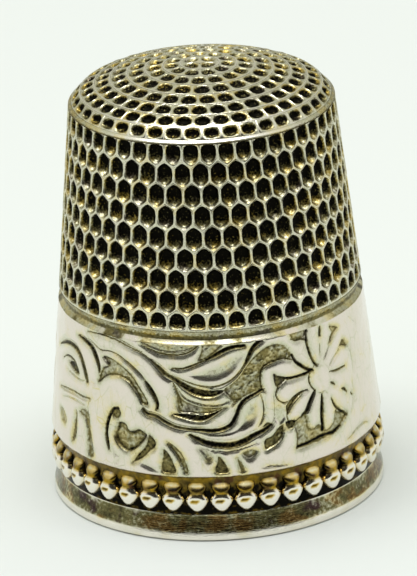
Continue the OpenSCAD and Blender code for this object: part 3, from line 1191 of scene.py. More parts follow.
CUTS: tuple[Cut, ...] = (
    # Stems that sweep from the scroll head to the right.
    Cut(((-54, 10.7), (-46, 10.8), (-39, 10.74), (-33, 10.52), (-27, 10.25), (-22, 9.8)), 0.09,
        0.07, 0.7),
    Cut(((-24, 10.0), (-21, 9.65), (-18, 9.25), (-14, 8.95), (-10, 8.62), (-6, 8.42), (-2, 8.33)),
        0.2, 0.15, 0.85, (0.3, 0.6), 1.0),
    Cut(((-42, 10.92), (-36, 10.78), (-31, 10.55), (-27, 10.35)), 0.06, 0.05, 0.6),
    Cut(((-28, 10.78), (-24, 10.56), (-20, 10.4), (-15, 10.36), (-11, 10.42), (-8, 10.62),
         (-5.5, 10.9)), 0.09, 0.09, 0.75, (0.2, 0.9)),
    Cut(((-16, 9.62), (-12, 9.62), (-8.5, 9.78), (-5, 9.98), (-2, 10.12)), 0.11, 0.1, 0.8),
    Cut(((-3, 10.08), (0, 10.3), (3.5, 10.55), (7, 10.7), (11.5, 10.72)), 0.22, 0.15, 1.0,
        (0.4, 0.7)),
    Cut(((-16, 9.25), (-11, 8.95), (-6, 8.7), (-1, 8.62), (3, 8.74), (6.5, 9.0), (9.5, 9.4),
         (12, 9.9)), 0.1, 0.09, 0.7, (0.3, 0.9), -1.0),
    Cut(((11.5, 9.75), (13.2, 10.2), (15, 10.6), (18, 10.9)), 0.22, 0.14, 0.9, (0.5, 0.9)),
    Cut(((-15.3, 8.85), (-14, 8.35), (-13, 7.95), (-12.2, 7.5)), 0.13, 0.12, 0.75),
    Cut(((-14.5, 8.7), (-11.5, 8.1), (-8.5, 7.85), (-4, 7.66), (1, 7.62), (5, 7.85)), 0.07, 0.06,
        0.55),
    Cut(((-27.2, 7.25), (-25.5, 7.02), (-22, 6.93), (-18.5, 6.66), (-14.5, 6.42), (-9, 6.3)),
        0.15, 0.13, 0.85, (0.7, 0.9), 1.0),
    Cut(((-11, 6.32), (-6, 6.26), (-2, 6.2), (2, 6.28), (5, 6.5), (7, 6.95), (8.5, 7.45),
         (11, 7.8), (14.5, 8.03), (17, 8.2)), 0.18, 0.15, 1.0, (0.6, 0.7), 1.0),
    Cut(((-10, 6.05), (-7, 5.8), (-4, 5.56), (0, 5.42), (5, 5.37), (9, 5.5), (13, 5.77),
         (16.5, 5.98), (19.5, 6.22)), 0.3, 0.17, 1.0, (0.15, 0.3), 1.0),
    Cut(((-5, 5.25), (0, 5.12), (5, 5.1), (10, 5.22), (14, 5.42)), 0.05, 0.04, 0.4),
    # The upright leaf between the stems and the daisy.
    Cut(((17, 8.2), (16.6, 8.7), (17.2, 9.25), (19, 9.5), (22, 9.62), (26, 9.66), (29.8, 9.48)),
        0.1, 0.1, 0.85, (0.8, 0.5)),
    Cut(((16.4, 7.95), (17, 7.5), (17, 6.95), (16.2, 6.6), (14.6, 6.2)), 0.08, 0.07, 0.65),
    Cut(((22.2, 8.25), (21.4, 7.9), (21.2, 7.3), (20.8, 6.7), (19.6, 6.25)), 0.06, 0.05, 0.45),
    Cut(((19.5, 6.2), (18, 6.3), (16.5, 6.15)), 0.14, 0.1, 0.9),
    # Left of the head: arcs and bars.
    Cut(((-60.5, 10.22), (-57, 10.15), (-53.5, 10.03), (-50.8, 9.8), (-48.8, 9.42),
         (-47.4, 9.05), (-46.8, 8.7)), 0.18, 0.14, 0.95, (0.15, 0.5), 1.0),
    Cut(((-53.5, 10.35), (-50, 10.15), (-46.5, 9.95), (-42, 10.02), (-38, 9.95), (-34, 9.7),
         (-30, 9.35), (-27, 9.0), (-25, 8.65)), 0.08, 0.07, 0.65),
    Cut(((-26, 8.8), (-24, 8.42), (-22.4, 8.05), (-21.4, 7.65), (-21.5, 7.35)), 0.19, 0.14, 0.95,
        (0.3, 0.8)),
    Cut(((-78, 8.85), (-74, 9.12), (-70, 9.36), (-65, 9.46), (-61, 9.36), (-58, 9.05),
         (-55.6, 8.55), (-54.2, 8.15), (-53.5, 7.88)), 0.2, 0.13, 0.85, (0.25, 0.7), 1.0),
    Cut(((-72.5, 8.35), (-69, 8.66), (-65, 8.74), (-61.5, 8.6), (-59, 8.2)), 0.1, 0.08, 0.7),
    Cut(((-68, 7.95), (-62, 7.84), (-57, 7.84), (-53.8, 7.95)), 0.07, 0.05, 0.5),
    Cut(((-75, 6.62), (-69, 6.82), (-62, 6.95), (-56, 6.95), (-51.8, 7.02)), 0.15, 0.1, 0.6,
        (0.3, 0.8), -1.0),
    Cut(((-71, 6.25), (-65, 6.5), (-58, 6.56), (-53, 6.5)), 0.08, 0.05, 0.4),
    Cut(((-52, 7.0), (-52.6, 6.5), (-52, 5.9), (-51, 5.3), (-50, 4.7), (-48.5, 4.1)), 0.07, 0.06,
        0.45),
    # The head's inner curl and the fine lines at its foot.
    Cut(((-37.5, 7.0), (-39.6, 6.88), (-41.4, 6.4), (-42.4, 5.9), (-42.5, 5.4), (-41.7, 4.95),
         (-41, 4.6)), 0.2, 0.13, 0.95, (0.9, 0.2)),
    Cut(((-39.5, 4.75), (-38, 4.45), (-36.5, 4.35), (-37.5, 4.05)), 0.05, 0.03, 0.3),
    Cut(((-27, 4.25), (-24, 4.1), (-21.5, 3.92)), 0.05, 0.03, 0.35),
    Cut(((-51.5, 8.0), (-49.5, 8.0), (-48, 8.15)), 0.04, 0.03, 0.25),
    # Lines between the daisy's petals, round from the left.
    Cut(((29.8, 9.75), (31, 9.35), (33.5, 9.0), (36, 8.72), (38, 8.6)), 0.17, 0.14, 1.0,
        (0.6, 0.9)),
    Cut(((23.5, 8.72), (27, 8.53), (31, 8.5), (35, 8.53), (37.2, 8.6)), 0.15, 0.14, 1.0,
        (0.8, 1.0)),
    Cut(((36.6, 8.5), (36.1, 8.15), (36.7, 7.8), (38.2, 7.45)), 0.1, 0.08, 0.85),
    Cut(((26.5, 7.1), (29, 7.42), (32, 7.58), (35.2, 7.62)), 0.14, 0.12, 0.85, (0.9, 0.3)),
    Cut(((25, 8.34), (23, 8.16), (22.1, 7.8), (22.9, 7.46), (25, 7.26), (27, 7.3)), 0.09, 0.08,
        0.75),
    Cut(((27, 7.02), (26, 6.72), (25.7, 6.4), (26.8, 6.12), (29.2, 6.08), (31.6, 6.26)), 0.09,
        0.08, 0.75),
    Cut(((32, 6.3), (33.8, 6.5), (35.6, 6.9), (37.3, 7.25), (38.4, 7.45)), 0.22, 0.15, 0.95,
        (0.9, 0.4)),
    Cut(((40.2, 5.15), (40.1, 5.65), (40.5, 6.2), (41.1, 6.75), (41.4, 7.12)), 0.2, 0.14, 1.0,
        (0.9, 0.4)),
    Cut(((39, 7.32), (41, 7.2), (43, 7.2), (44.2, 7.0)), 0.06, 0.05, 0.5),
    Cut(((45.6, 6.7), (47, 6.22), (49.2, 5.85), (51.5, 5.58), (53, 5.4)), 0.15, 0.12, 0.85,
        (0.3, 0.9)),
    Cut(((37.4, 10.9), (36.8, 10.45), (37, 9.95), (38, 9.4), (39.3, 8.95), (40.4, 8.72)), 0.15,
        0.12, 0.85, (0.8, 0.8)),
    Cut(((38.6, 8.72), (40, 8.83), (41.4, 8.78)), 0.08, 0.06, 0.6),
    Cut(((43.8, 10.72), (43.5, 10.5), (43.3, 10.28)), 0.16, 0.11, 0.9, (0.9, 0.9)),
    Cut(((43.2, 9.9), (42.8, 9.55), (42.5, 9.25)), 0.07, 0.05, 0.5),
    Cut(((47.8, 9.62), (45.6, 9.2), (43.8, 8.88)), 0.07, 0.05, 0.45),
    Cut(((52, 9.0), (49, 8.74), (46.3, 8.42)), 0.08, 0.06, 0.5),
    Cut(((46.6, 8.14), (49, 8.06), (52, 8.03), (55.5, 8.02)), 0.12, 0.1, 0.8),
    Cut(((46.2, 7.56), (47.4, 7.44), (48.3, 7.32)), 0.13, 0.09, 0.85),
    Cut(((51.6, 6.93), (53.3, 6.82), (54.6, 6.6)), 0.15, 0.1, 0.8),
    Cut(((57.2, 6.4), (57.7, 6.28)), 0.12, 0.07, 0.6, (0.9, 0.9)),
    Cut(((40.5, 8.4), (41.3, 7.9), (42.8, 7.4), (44, 7.1)), 0.04, 0.02, 0.2),
    Cut(((43.9, 8.74), (45.7, 8.4), (46.4, 7.98), (46.0, 7.54), (44.5, 7.22)), 0.06, 0.03, 0.32),
    Cut(((57.0, 9.3), (59.6, 8.7), (60.6, 8.1), (60.0, 7.5)), 0.09, 0.03, 0.28),
    Cut(((58.6, 7.2), (59.0, 6.5), (57.4, 5.8), (55.2, 5.3)), 0.09, 0.03, 0.28),
    # Edges of the ground under the daisy and a few strokes on the right.
    Cut(((28.6, 4.66), (32, 4.7), (36, 4.78), (40, 4.86), (45, 4.82), (49, 5.02)), 0.17, 0.14,
        1.0, (0.8, 0.3)),
    Cut(((29.8, 10.62), (32, 10.46), (35, 10.42), (37, 10.25)), 0.1, 0.09, 0.85),
    Cut(((51.5, 4.05), (54, 4.12), (58, 4.3), (63, 4.35), (67, 4.15)), 0.14, 0.05, 0.4),
    Cut(((15.5, 4.05), (19, 4.0), (23, 3.9), (26, 3.82)), 0.06, 0.04, 0.35),
    Cut(((61.5, 10.5), (64, 10.2), (66, 9.95)), 0.1, 0.03, 0.2),
)

GROUNDS: tuple[Sunk, ...] = (
    Sunk(((-27, 10.93), (-23.5, 10.66), (-19, 10.5), (-14, 10.48), (-10, 10.6), (-7, 10.93)),
         0.08, 0.28, 0.6),
    Sunk(((-6, 10.05), (-3, 10.12), (-1, 10.3), (1.5, 10.6), (3, 10.9), (-3.6, 10.95),
          (-4.8, 10.5)), 0.1, 0.45, 0.8),
    Sunk(((-13.5, 8.78), (-9, 8.52), (-4, 8.4), (1, 8.42), (3, 8.38), (1.8, 8.2), (-1, 8.06),
          (-4.5, 8.06), (-8, 8.2), (-11.5, 8.5)), 0.17, 0.85, 1.0),
    Sunk(((-14, 8.3), (-12, 7.93), (-9, 7.7), (-5, 7.52), (0, 7.48), (3, 7.46), (0.5, 7.3),
          (-2, 7.18), (-6, 7.16), (-10, 7.22), (-13.4, 7.32)), 0.11, 0.45, 0.7),
    Sunk(((-16, 7.12), (-12, 7.16), (-8, 7.1), (-4, 7.08), (0, 7.26), (3.6, 7.5), (1, 7.22),
          (-2, 6.94), (-5, 6.74), (-8.5, 6.78), (-12.5, 6.94)), 0.17, 0.9, 1.0),
    Sunk(((3, 8.4), (6, 8.72), (9, 9.1), (11.8, 9.6), (15, 10.05), (18.5, 10.38), (22, 10.52),
          (26, 10.44), (28.6, 10.08), (30, 9.6), (26, 9.66), (22, 9.6), (19, 9.46),
          (17.2, 9.2), (16.8, 8.7), (17, 8.25), (13.5, 8.1), (9.5, 7.86), (6.5, 7.62),
          (5.6, 7.85)), 0.09, 0.56, 0.8, 0.045),
    Sunk(((-19.3, 5.15), (-17.2, 4.85), (-15.7, 4.35), (-15.1, 3.85), (-19.4, 3.85),
          (-20.2, 4.2), (-19.7, 4.7)), 0.15, 0.7, 0.9, 0.03),
    Sunk(((-17.8, 5.55), (-15, 5.32), (-12.4, 4.85), (-10.5, 4.0), (-11.9, 3.85),
          (-12.9, 4.3), (-14.7, 4.85), (-16.6, 5.25)), 0.12, 0.5, 0.85),
    Sunk(((0, 4.8), (1.8, 4.5), (3.4, 3.9), (1, 3.82), (-1.1, 3.9), (-1.3, 4.15),
          (-0.5, 4.45)), 0.15, 0.75, 1.0, 0.03),
    Sunk(((6.4, 4.65), (8, 4.35), (9.1, 3.9), (7.6, 3.82), (6.9, 4.2)), 0.1, 0.55, 0.8),
    Sunk(((8.3, 4.86), (11, 5.0), (13.7, 4.95), (12.3, 4.66), (10.4, 4.56)), 0.09, 0.6, 0.65),
    Sunk(((-6.5, 5.3), (-4, 5.12), (-2.4, 4.8), (-3.4, 4.6), (-5, 4.92)), 0.05, 0.3, 0.35),
    Sunk(((21.8, 8.95), (24, 8.72), (27, 8.56), (25, 8.32), (22.8, 8.18), (21.9, 8.45)), 0.13,
         0.75, 0.95),
    Sunk(((25.6, 7.0), (27.6, 7.32), (30.5, 7.5), (33.5, 7.62), (30, 7.28), (27.6, 6.95),
          (26, 6.65)), 0.14, 0.7, 1.0),
    Sunk(((28.2, 5.9), (28.9, 5.4), (28.7, 4.95), (28.5, 4.6), (31, 4.58), (35, 4.6),
          (40, 4.66), (45, 4.78), (49, 5.0), (53, 5.42), (51.5, 5.62), (48.5, 5.8),
          (47, 5.95), (46, 5.45), (44, 5.2), (41.5, 5.1), (40.2, 5.32), (38.3, 5.55),
          (35.8, 5.4), (34.2, 5.6), (34, 6.0), (33, 6.4), (31, 6.28), (29.5, 6.2)), 0.14,
         0.45, 0.8, 0.02),
    Sunk(((29.8, 10.92), (33, 10.92), (36.5, 10.92), (36.3, 10.52), (33, 10.48),
          (30.6, 10.58)), 0.09, 0.45, 0.8),
    Sunk(((16.6, 5.42), (19.5, 5.6), (22.4, 6.0), (24.2, 6.04), (23.5, 5.5), (21.5, 5.16),
          (18.5, 4.96), (16.7, 4.9)), 0.15, 0.7, 1.0, 0.04),
    Sunk(((24.8, 6.15), (27, 6.22), (29.2, 6.12), (28.4, 5.85), (26, 5.76)), 0.13, 0.85, 1.0),
    Sunk(((48.8, 10.55), (53.6, 10.3), (51.8, 10.08), (49.4, 9.82), (47.6, 9.6), (48.6, 9.98),
          (50, 10.2)), 0.09, 0.5, 0.85),
    Sunk(((55.8, 9.5), (58.6, 9.0), (56, 9.1), (53.8, 9.2), (51.8, 9.0), (53.6, 9.28)), 0.09,
         0.6, 0.85),
    # Left side.
    Sunk(((-45.2, 9.62), (-42.5, 9.68), (-39, 9.56), (-35, 9.3), (-31.5, 8.95),
          (-28.5, 8.4), (-26, 7.9), (-24.9, 7.52), (-27.3, 7.5), (-29, 7.95), (-31, 8.3),
          (-33.5, 8.6), (-37, 8.76), (-41, 8.72), (-44, 8.5), (-47, 8.12), (-46.6, 8.6),
          (-45, 9.0), (-42.6, 9.22), (-43.6, 9.4)), 0.15, 0.48, 1.0, 0.03),
    Sunk(((-66.5, 8.38), (-63, 8.6), (-60, 8.45), (-58.4, 8.12), (-60, 8.06), (-63, 8.12)),
         0.12, 0.75, 0.9),
    Sunk(((-57.5, 6.15), (-55, 6.3), (-52.4, 6.2), (-51.4, 5.8), (-50.6, 5.1), (-49.6, 4.4),
          (-49, 3.9), (-51.4, 3.85), (-51.9, 4.6), (-52.7, 5.4), (-54.4, 5.82),
          (-57, 5.95)), 0.12, 0.5, 0.75),
    Sunk(((-59.3, 6.0), (-58.9, 5.4), (-59.2, 4.7), (-60.5, 4.28), (-62.5, 4.18),
          (-61.4, 4.8), (-60.4, 5.4), (-60, 5.9)), 0.1, 0.6, 0.8),
    Sunk(((-73, 5.5), (-69.5, 5.52), (-67, 5.1), (-68.5, 4.8), (-71.5, 5.0)), 0.06, 0.45, 0.5),
    Sunk(((-40, 6.8), (-38.8, 7.0), (-37, 6.96), (-36.2, 6.76), (-37, 6.5), (-38.5, 6.42),
          (-39.8, 6.56)), 0.13, 0.6, 1.0),
    Sunk(((-37.4, 6.2), (-35.8, 6.3), (-33.8, 6.2), (-33.2, 6.0), (-32, 5.9), (-30.5, 5.95),
          (-28.5, 6.08), (-26.8, 5.96), (-25.4, 5.8), (-26.5, 5.5), (-28.5, 5.15),
          (-31, 4.85), (-33.5, 4.72), (-36, 4.85), (-38, 5.15), (-39.1, 5.5), (-38.3, 5.8),
          (-37.8, 6.0)), 0.2, 0.5, 1.0, 0.03, 0.12),
    Sunk(((-24.8, 5.85), (-22.4, 5.55), (-22.4, 5.22), (-24.5, 4.95), (-26.8, 4.58),
          (-29, 4.35), (-30.8, 4.25), (-29, 4.7), (-26.8, 5.05), (-25.5, 5.4)), 0.14, 0.7,
         0.95),
)

LEAVES: tuple[Dished, ...] = (
    Dished(((-13, 9.3), (-8, 9.6), (-3, 9.9), (1, 10.15), (5, 10.4), (9, 10.55), (13, 10.5),
            (12.2, 10.0), (9.5, 9.4), (5.5, 9.0), (0, 8.75), (-5, 8.8), (-9, 9.0)), 0.08, 0.6,
           0.36),
    Dished(((8, 7.1), (10.5, 7.6), (14, 7.88), (16.2, 7.85), (16.6, 7.2), (16, 6.7),
            (14, 6.35), (10, 6.1), (5, 5.9), (0, 5.85), (-4, 6.0), (2, 6.15), (6, 6.4)), 0.07,
           0.5, 0.3),
    Dished(((-50, 7.9), (-46, 8.3), (-40, 8.6), (-35, 8.5), (-31, 8.0), (-28.5, 7.4),
            (-30, 6.6), (-35, 6.5), (-37, 7.2), (-42, 6.9), (-44, 6.0), (-46, 5.0),
            (-50, 5.0), (-51.5, 6.3)), -0.05, 0.7, 0.0),
    Dished(((36.8, 8.5), (38.5, 8.75), (41, 8.8), (44, 8.7), (46, 8.3), (46, 7.8),
            (44.3, 7.35), (41, 7.25), (38, 7.45), (36.5, 7.9)), -0.04, 0.35, 0.0),
    Dished(((21, 7.3), (24.5, 7.3), (25.6, 6.85), (25.2, 6.4), (24, 6.15), (22, 6.1),
            (20.8, 6.5)), 0.07, 0.2, 0.3),
    Dished(((-2, 5.9), (-4, 6.5), (2, 6.75), (5, 7.1), (6, 7.5), (7.2, 7.3), (5.5, 6.7),
            (2, 6.4)), 0.03, 0.3, 0.12),
    # The daisy's petals and the leaf beside them are rounded over.
    Dished(((22.3, 7.8), (25, 8.28), (30, 8.42), (36, 8.38), (36.3, 7.9), (31, 7.66),
            (26, 7.4)), -0.07, 0.24, 0.0),
    Dished(((26, 6.45), (26.7, 6.95), (30, 7.2), (35, 7.5), (38, 7.42), (36, 6.98),
            (33, 6.55), (31, 6.3), (28, 6.2)), -0.07, 0.24, 0.0),
    Dished(((34.4, 5.7), (34.3, 6.2), (36.5, 6.85), (39, 7.35), (40.8, 7.1), (40.1, 6.2),
            (39.8, 5.5), (38.3, 5.55), (36, 5.45)), -0.07, 0.24, 0.0),
    Dished(((41.6, 5.2), (40.8, 5.7), (41.4, 6.6), (42.2, 7.1), (44, 7.0), (45.3, 6.5),
            (45.9, 5.6), (44, 5.28)), -0.07, 0.24, 0.0),
    Dished(((20.6, 9.3), (24, 9.48), (29, 9.48), (33, 9.0), (37, 8.66), (33, 8.6),
            (27, 8.65), (23, 8.8), (21.4, 8.95)), -0.07, 0.22, 0.0),
    Dished(((30.5, 9.9), (31.5, 10.3), (34, 10.4), (36.4, 10.1), (37.6, 9.4), (39.6, 8.85),
            (38, 8.75), (34, 9.1)), -0.06, 0.24, 0.0),
    Dished(((37.6, 10.7), (41, 10.85), (43, 10.6), (43, 9.6), (42, 9.0), (40.8, 8.85),
            (38.6, 9.4), (37.5, 10.1)), -0.05, 0.25, 0.0),
)


@dataclass
class Face:
    """The band's face while it is chased: a grid of columns round it and rows up it.

    x and z are places on it in millimetres, grain is the punches' pattern from -1 to 1, height
    is above the plain face (mostly negative), and nearest is the distance to the next cut.
    """

    x: np.ndarray
    z: np.ndarray
    grain: np.ndarray
    height: np.ndarray
    tarnish: np.ndarray
    nearest: np.ndarray


@dataclass
class ChasedBand:
    """Sleeve of sheet silver, chased with a scroll and a daisy that come twice round it."""

    form: Form
    columns: int = 560
    rows: int = 158
    bevel_h: float = 0.42
    bevel_patch_deg: float = 5.238
    # From this angle, and over this span, painted shade darkens the bevel towards the sides.
    bevel_shade_from_deg: float = 36.0
    bevel_shade_over_deg: float = 22.0
    foot_round_h: float = 0.12
    foot_round: float = 0.05
    mean_r: float = 8.55
    period: float = 180.0
    pillow: float = 0.035
    pillow_reach: float = 0.16
    stipple_mm: float = 0.11
    # Tone and width of a darker halo round cuts and grounds: partly grime, partly painted shade.
    halo_grime_and_shade: float = 0.38
    halo_grime_and_shade_mm: float = 0.2
    swell: float = 0.02
    tool_reach: float = 0.6
    seed: int = 5

    def grid(self) -> tuple[np.ndarray, np.ndarray]:
        """Divide the chased part of half the band.

        Returns:
            The grid's angles in degrees and its heights.
        """
        turns = np.linspace(-90, 90, self.columns + 1)
        lift = np.linspace(self.form.band_foot_z + 0.05, self.form.band_top_z - self.bevel_h,
                           self.rows)
        return turns, lift

    @staticmethod
    def distance(x: np.ndarray, z: np.ndarray, line: np.ndarray,
                 closed: bool) -> tuple[np.ndarray, np.ndarray, np.ndarray]:
        """Measure from grid points to a line.

        Args:
            x: distances round the band in millimetres.
            z: heights in millimetres.
            line: the line's points in the same units.
            closed: whether the last point joins the first.

        Returns:
            Distance to the line, share of the way along it, and side (+1 is left of it).
        """
        ends = np.roll(line, -1, axis=0) if closed else line[1:]
        starts = line if closed else line[:-1]
        lengths = np.linalg.norm(ends - starts, axis=1)
        travelled = np.concatenate([[0], np.cumsum(lengths)])
        best = np.full(x.shape, 1e9)
        share = np.zeros(x.shape)
        side = np.zeros(x.shape)
        for i, (a, b) in enumerate(zip(starts, ends)):
            dx, dz = b - a
            length = max(lengths[i], 1e-6)
            t = np.clip(((x - a[0]) * dx + (z - a[1]) * dz) / length ** 2, 0, 1)
            gap = np.hypot(x - a[0] - t * dx, z - a[1] - t * dz)
            nearer = gap < best
            best = np.where(nearer, gap, best)
            share = np.where(nearer, (travelled[i] + t * length) / travelled[-1], share)
            cross = dx * (z - a[1]) - dz * (x - a[0])
            side = np.where(nearer, np.sign(cross), side)
        return best, share, side

    @staticmethod
    def inside(x: np.ndarray, z: np.ndarray, line: np.ndarray) -> np.ndarray:
        """Find the grid points inside a closed line.

        Args:
            x: distances round the band in millimetres.
            z: heights in millimetres.
            line: the line's points in the same units.

        Returns:
            True for each point inside.
        """
        odd = np.zeros(x.shape, dtype=bool)
        for (ax, az), (bx, bz) in zip(line, np.roll(line, -1, axis=0)):
            if az == bz:
                continue
            crosses = (az > z) != (bz > z)
            odd ^= crosses & (x < (bx - ax) * (z - az) / (bz - az) + ax)
        return odd

    def stipple(self, x: np.ndarray, z: np.ndarray) -> np.ndarray:
        """Make a soft random pattern that is the same on every run.

        Args:
            x: distances round the band in millimetres.
            z: heights in millimetres.

        Returns:
            The pattern, from -1 to 1, with grains of the stipple's size.
        """
        rng = np.random.default_rng(self.seed)
        grains = rng.random((420, 90))
        u = (x - x.min()) / self.stipple_mm
        v = (z - z.min()) / self.stipple_mm
        i, j = np.floor(u).astype(int) % 419, np.floor(v).astype(int) % 89
        fu, fv = eased(u - np.floor(u)), eased(v - np.floor(v))
        low = grains[i, j] * (1 - fu) + grains[i + 1, j] * fu
        high = grains[i, j + 1] * (1 - fu) + grains[i + 1, j + 1] * fu
        return 2 * (low * (1 - fv) + high * fv) - 1

    def hollow(self, face: Face, leaf: Dished, shift: float) -> None:
        """Hollow or swell one leaf.

        Args:
            face: the band's face, which is changed.
            leaf: the leaf.
            shift: degrees by which the ornament is moved round the band.
        """
        window, line = self.window(leaf.outline, shift, face, 0.05, True)
        if window is None:
            return
        x, z = face.x[window], face.z[window]
        gap = np.where(self.inside(x, z, line), self.distance(x, z, line, True)[0], 0)
        rise = eased(gap / leaf.reach)
        face.height[window] -= leaf.depth * rise
        # Painted shade: the hollow's face is made darker towards its middle.
        face.tarnish[window] = np.maximum(face.tarnish[window], leaf.hollow_shade * rise)

    def punch(self, face: Face, ground: Sunk, shift: float) -> None:
        """Punch one area of ground down and stipple it.

        Args:
            face: the band's face, which is changed.
            ground: the area.
            shift: degrees by which the ornament is moved round the band.
        """
        window, line = self.window(ground.outline, shift, face, self.tool_reach, True)
        if window is None:
            return
        x, z, grain = face.x[window], face.z[window], face.grain[window]
        gap = self.distance(x, z, line, True)[0]
        signed = np.where(self.inside(x, z, line), gap, -gap)
        fall = eased((signed + 0.3 * ground.edge) / ground.edge)
        floor = -ground.depth + ground.stipple * grain
        face.height[window] = np.minimum(face.height[window], floor * fall)
        # The ground is darkest along its rim, and its high grains are rubbed lighter.
        dark = ground.floor + (ground.rim - ground.floor) * np.exp(
            -(np.maximum(signed, 0) / (1.3 * ground.edge)) ** 2)
        dark = dark - 6.0 * ground.stipple * np.maximum(grain, 0)
        # A darker halo just beyond the ground's rim: partly grime, partly painted shade.
        haze = self.halo_grime_and_shade * np.exp(-(np.maximum(-signed, 0) / self.halo_grime_and_shade_mm) ** 2)
        face.tarnish[window] = np.maximum(face.tarnish[window], np.maximum(dark * fall, haze))
        face.nearest[window] = np.minimum(face.nearest[window], np.maximum(-signed, 0))

    def chase(self, face: Face, cut: Cut, shift: float) -> None:
        """Chase one line, swelling in the middle and thinner towards its ends.

        Args:
            face: the band's face, which is changed.
            cut: the line.
            shift: degrees by which the ornament is moved round the band.
        """
        window, line = self.window(cut.path, shift, face, self.tool_reach, False)
        if window is None:
            return
        gap, share, side = self.distance(face.x[window], face.z[window], line, False)
        swell = np.sin(np.pi * np.clip(share, 0, 1)) ** 0.6
        ends = cut.taper[0] * (1 - share) + cut.taper[1] * share
        half = 0.58 * cut.width * (ends + (1 - ends) * swell)
        # One side of a leaning cut is a long slope, the other a steep edge.
        spread = np.where(side * cut.lean > 0, 2.4, 1.0) * half
        trough = eased(1 - gap / (spread * 1.25))
        scale = np.clip(half / (0.5 * cut.width), 0.3, 1)
        face.height[window] = np.minimum(face.height[window], -cut.depth * scale * trough)
        dark = cut.tarnish * np.exp(-(gap / (1.05 * half)) ** 4)
        # A darker halo beside the cut: partly grime, partly painted shade.
        dark = np.maximum(dark, self.halo_grime_and_shade * cut.tarnish
                          * np.exp(-(gap / (half + self.halo_grime_and_shade_mm)) ** 2))
        face.tarnish[window] = np.maximum(face.tarnish[window], dark)
        face.nearest[window] = np.minimum(face.nearest[window], np.maximum(gap - half, 0))

    def relief(self) -> Face:
        """Work every leaf, ground and line into the band's face.

        Returns:
            The finished face.
        """
        turns, lift = self.grid()
        x, z = np.meshgrid(np.radians(turns) * self.mean_r, lift, indexing="ij")
        face = Face(x, z, self.stipple(x, z), np.zeros(x.shape), np.zeros(x.shape),
                    np.full(x.shape, 1e9))
        for shift in (-self.period, 0.0, self.period):
            for leaf in LEAVES:
                self.hollow(face, leaf, shift)
            for ground in GROUNDS:
                self.punch(face, ground, shift)
            for cut in CUTS:
                self.chase(face, cut, shift)
        # Years of wear leave the face slightly uneven.
        for scale, share in ((9.0, 1.0), (4.0, 0.4)):
            face.height += self.swell * share * self.stipple(x / scale, z / scale)
        # The metal between the cuts is rounded over next to them.
        face.height -= (self.pillow * np.exp(-(face.nearest / self.pillow_reach) ** 2)
                        * (face.height > -0.08))
        return face

    def window(self, path: Outline, shift: float, face: Face, margin: float,
               closed: bool) -> tuple[tuple[slice, slice] | None, np.ndarray]:
        """Find the grid rows and columns near a line.

        Args:
            path: given points in degrees and millimetres.
            shift: degrees by which the ornament is moved round the band.
            face: the band's face.
            margin: how far beyond the line the window reaches, in millimetres.
            closed: whether the path is an outline.

        Returns:
            Two slices, or None where the line is off the grid, and the line in millimetres.
        """
        line = smooth(path, closed, 5)
        line = np.column_stack([np.radians(line[:, 0] + shift) * self.mean_r, line[:, 1]])
        columns, rows = face.x[:, 0], face.z[0]
        first, last = np.searchsorted(columns, (line[:, 0].min() - margin,
                                                line[:, 0].max() + margin))
        low, high = np.searchsorted(rows, (line[:, 1].min() - margin,
                                           line[:, 1].max() + margin))
        if last - first < 2 or high - low < 2:
            return None, line
        return (slice(first, last), slice(low, high)), line

    def closing(self) -> list[tuple[float, float, float]]:
        """Shape the rest of the section: four rows of bevel, the top, the inside and the foot.

        Returns:
            Radius, height and tarnish of each row.
        """
        form = self.form
        foot, top = form.band_foot_z, form.band_top_z
        crest = top - self.bevel_h
        crest_r = form.cone(crest)
        return [(crest_r - 0.01, crest + 0.02, 0.15), (crest_r - 0.03, crest + 0.05, 0.15),
                (crest_r - 0.07, crest + 0.09, 0.1), (crest_r - 0.225, crest + 0.22, 0.1),
                (crest_r - 0.25, crest + 0.26, 0.6), (form.cone(top) - 0.21, top, 0.75),
                (form.cone(top) - form.band_wall, top, 0.7),
                (form.sleeve_r, foot, 0.5), (form.cone(foot) - 0.09, foot, 0.6)]

    def half(self, name: str, start: float, face: Face, finish: Material) -> bpy.types.Object:
        """Build half the sleeve as a closed piece.

        Args:
            name: the piece's name.
            start: degrees added to the grid's angles.
            face: the chased face.
            finish: the material.

        Returns:
            The finished object.
        """
        form = self.form
        turns, lift = self.grid()
        turns = np.radians(turns + start)
        closing = self.closing()
        columns = len(turns)
        radius = np.empty((columns, self.rows + len(closing)))
        level = np.empty_like(radius)
        shade = np.empty_like(radius)
        radius[:, :self.rows] = form.cone_r - form.taper * lift + face.height
        edge = np.clip((lift - lift[0]) / self.foot_round_h, 0, 1)
        radius[:, :self.rows] -= self.foot_round * (1 - edge) ** 2
        level[:, :self.rows] = lift
        shade[:, :self.rows] = face.tarnish
        for offset, (r, z, tone) in enumerate(closing):
            radius[:, self.rows + offset] = r
            level[:, self.rows + offset] = z
            shade[:, self.rows + offset] = tone
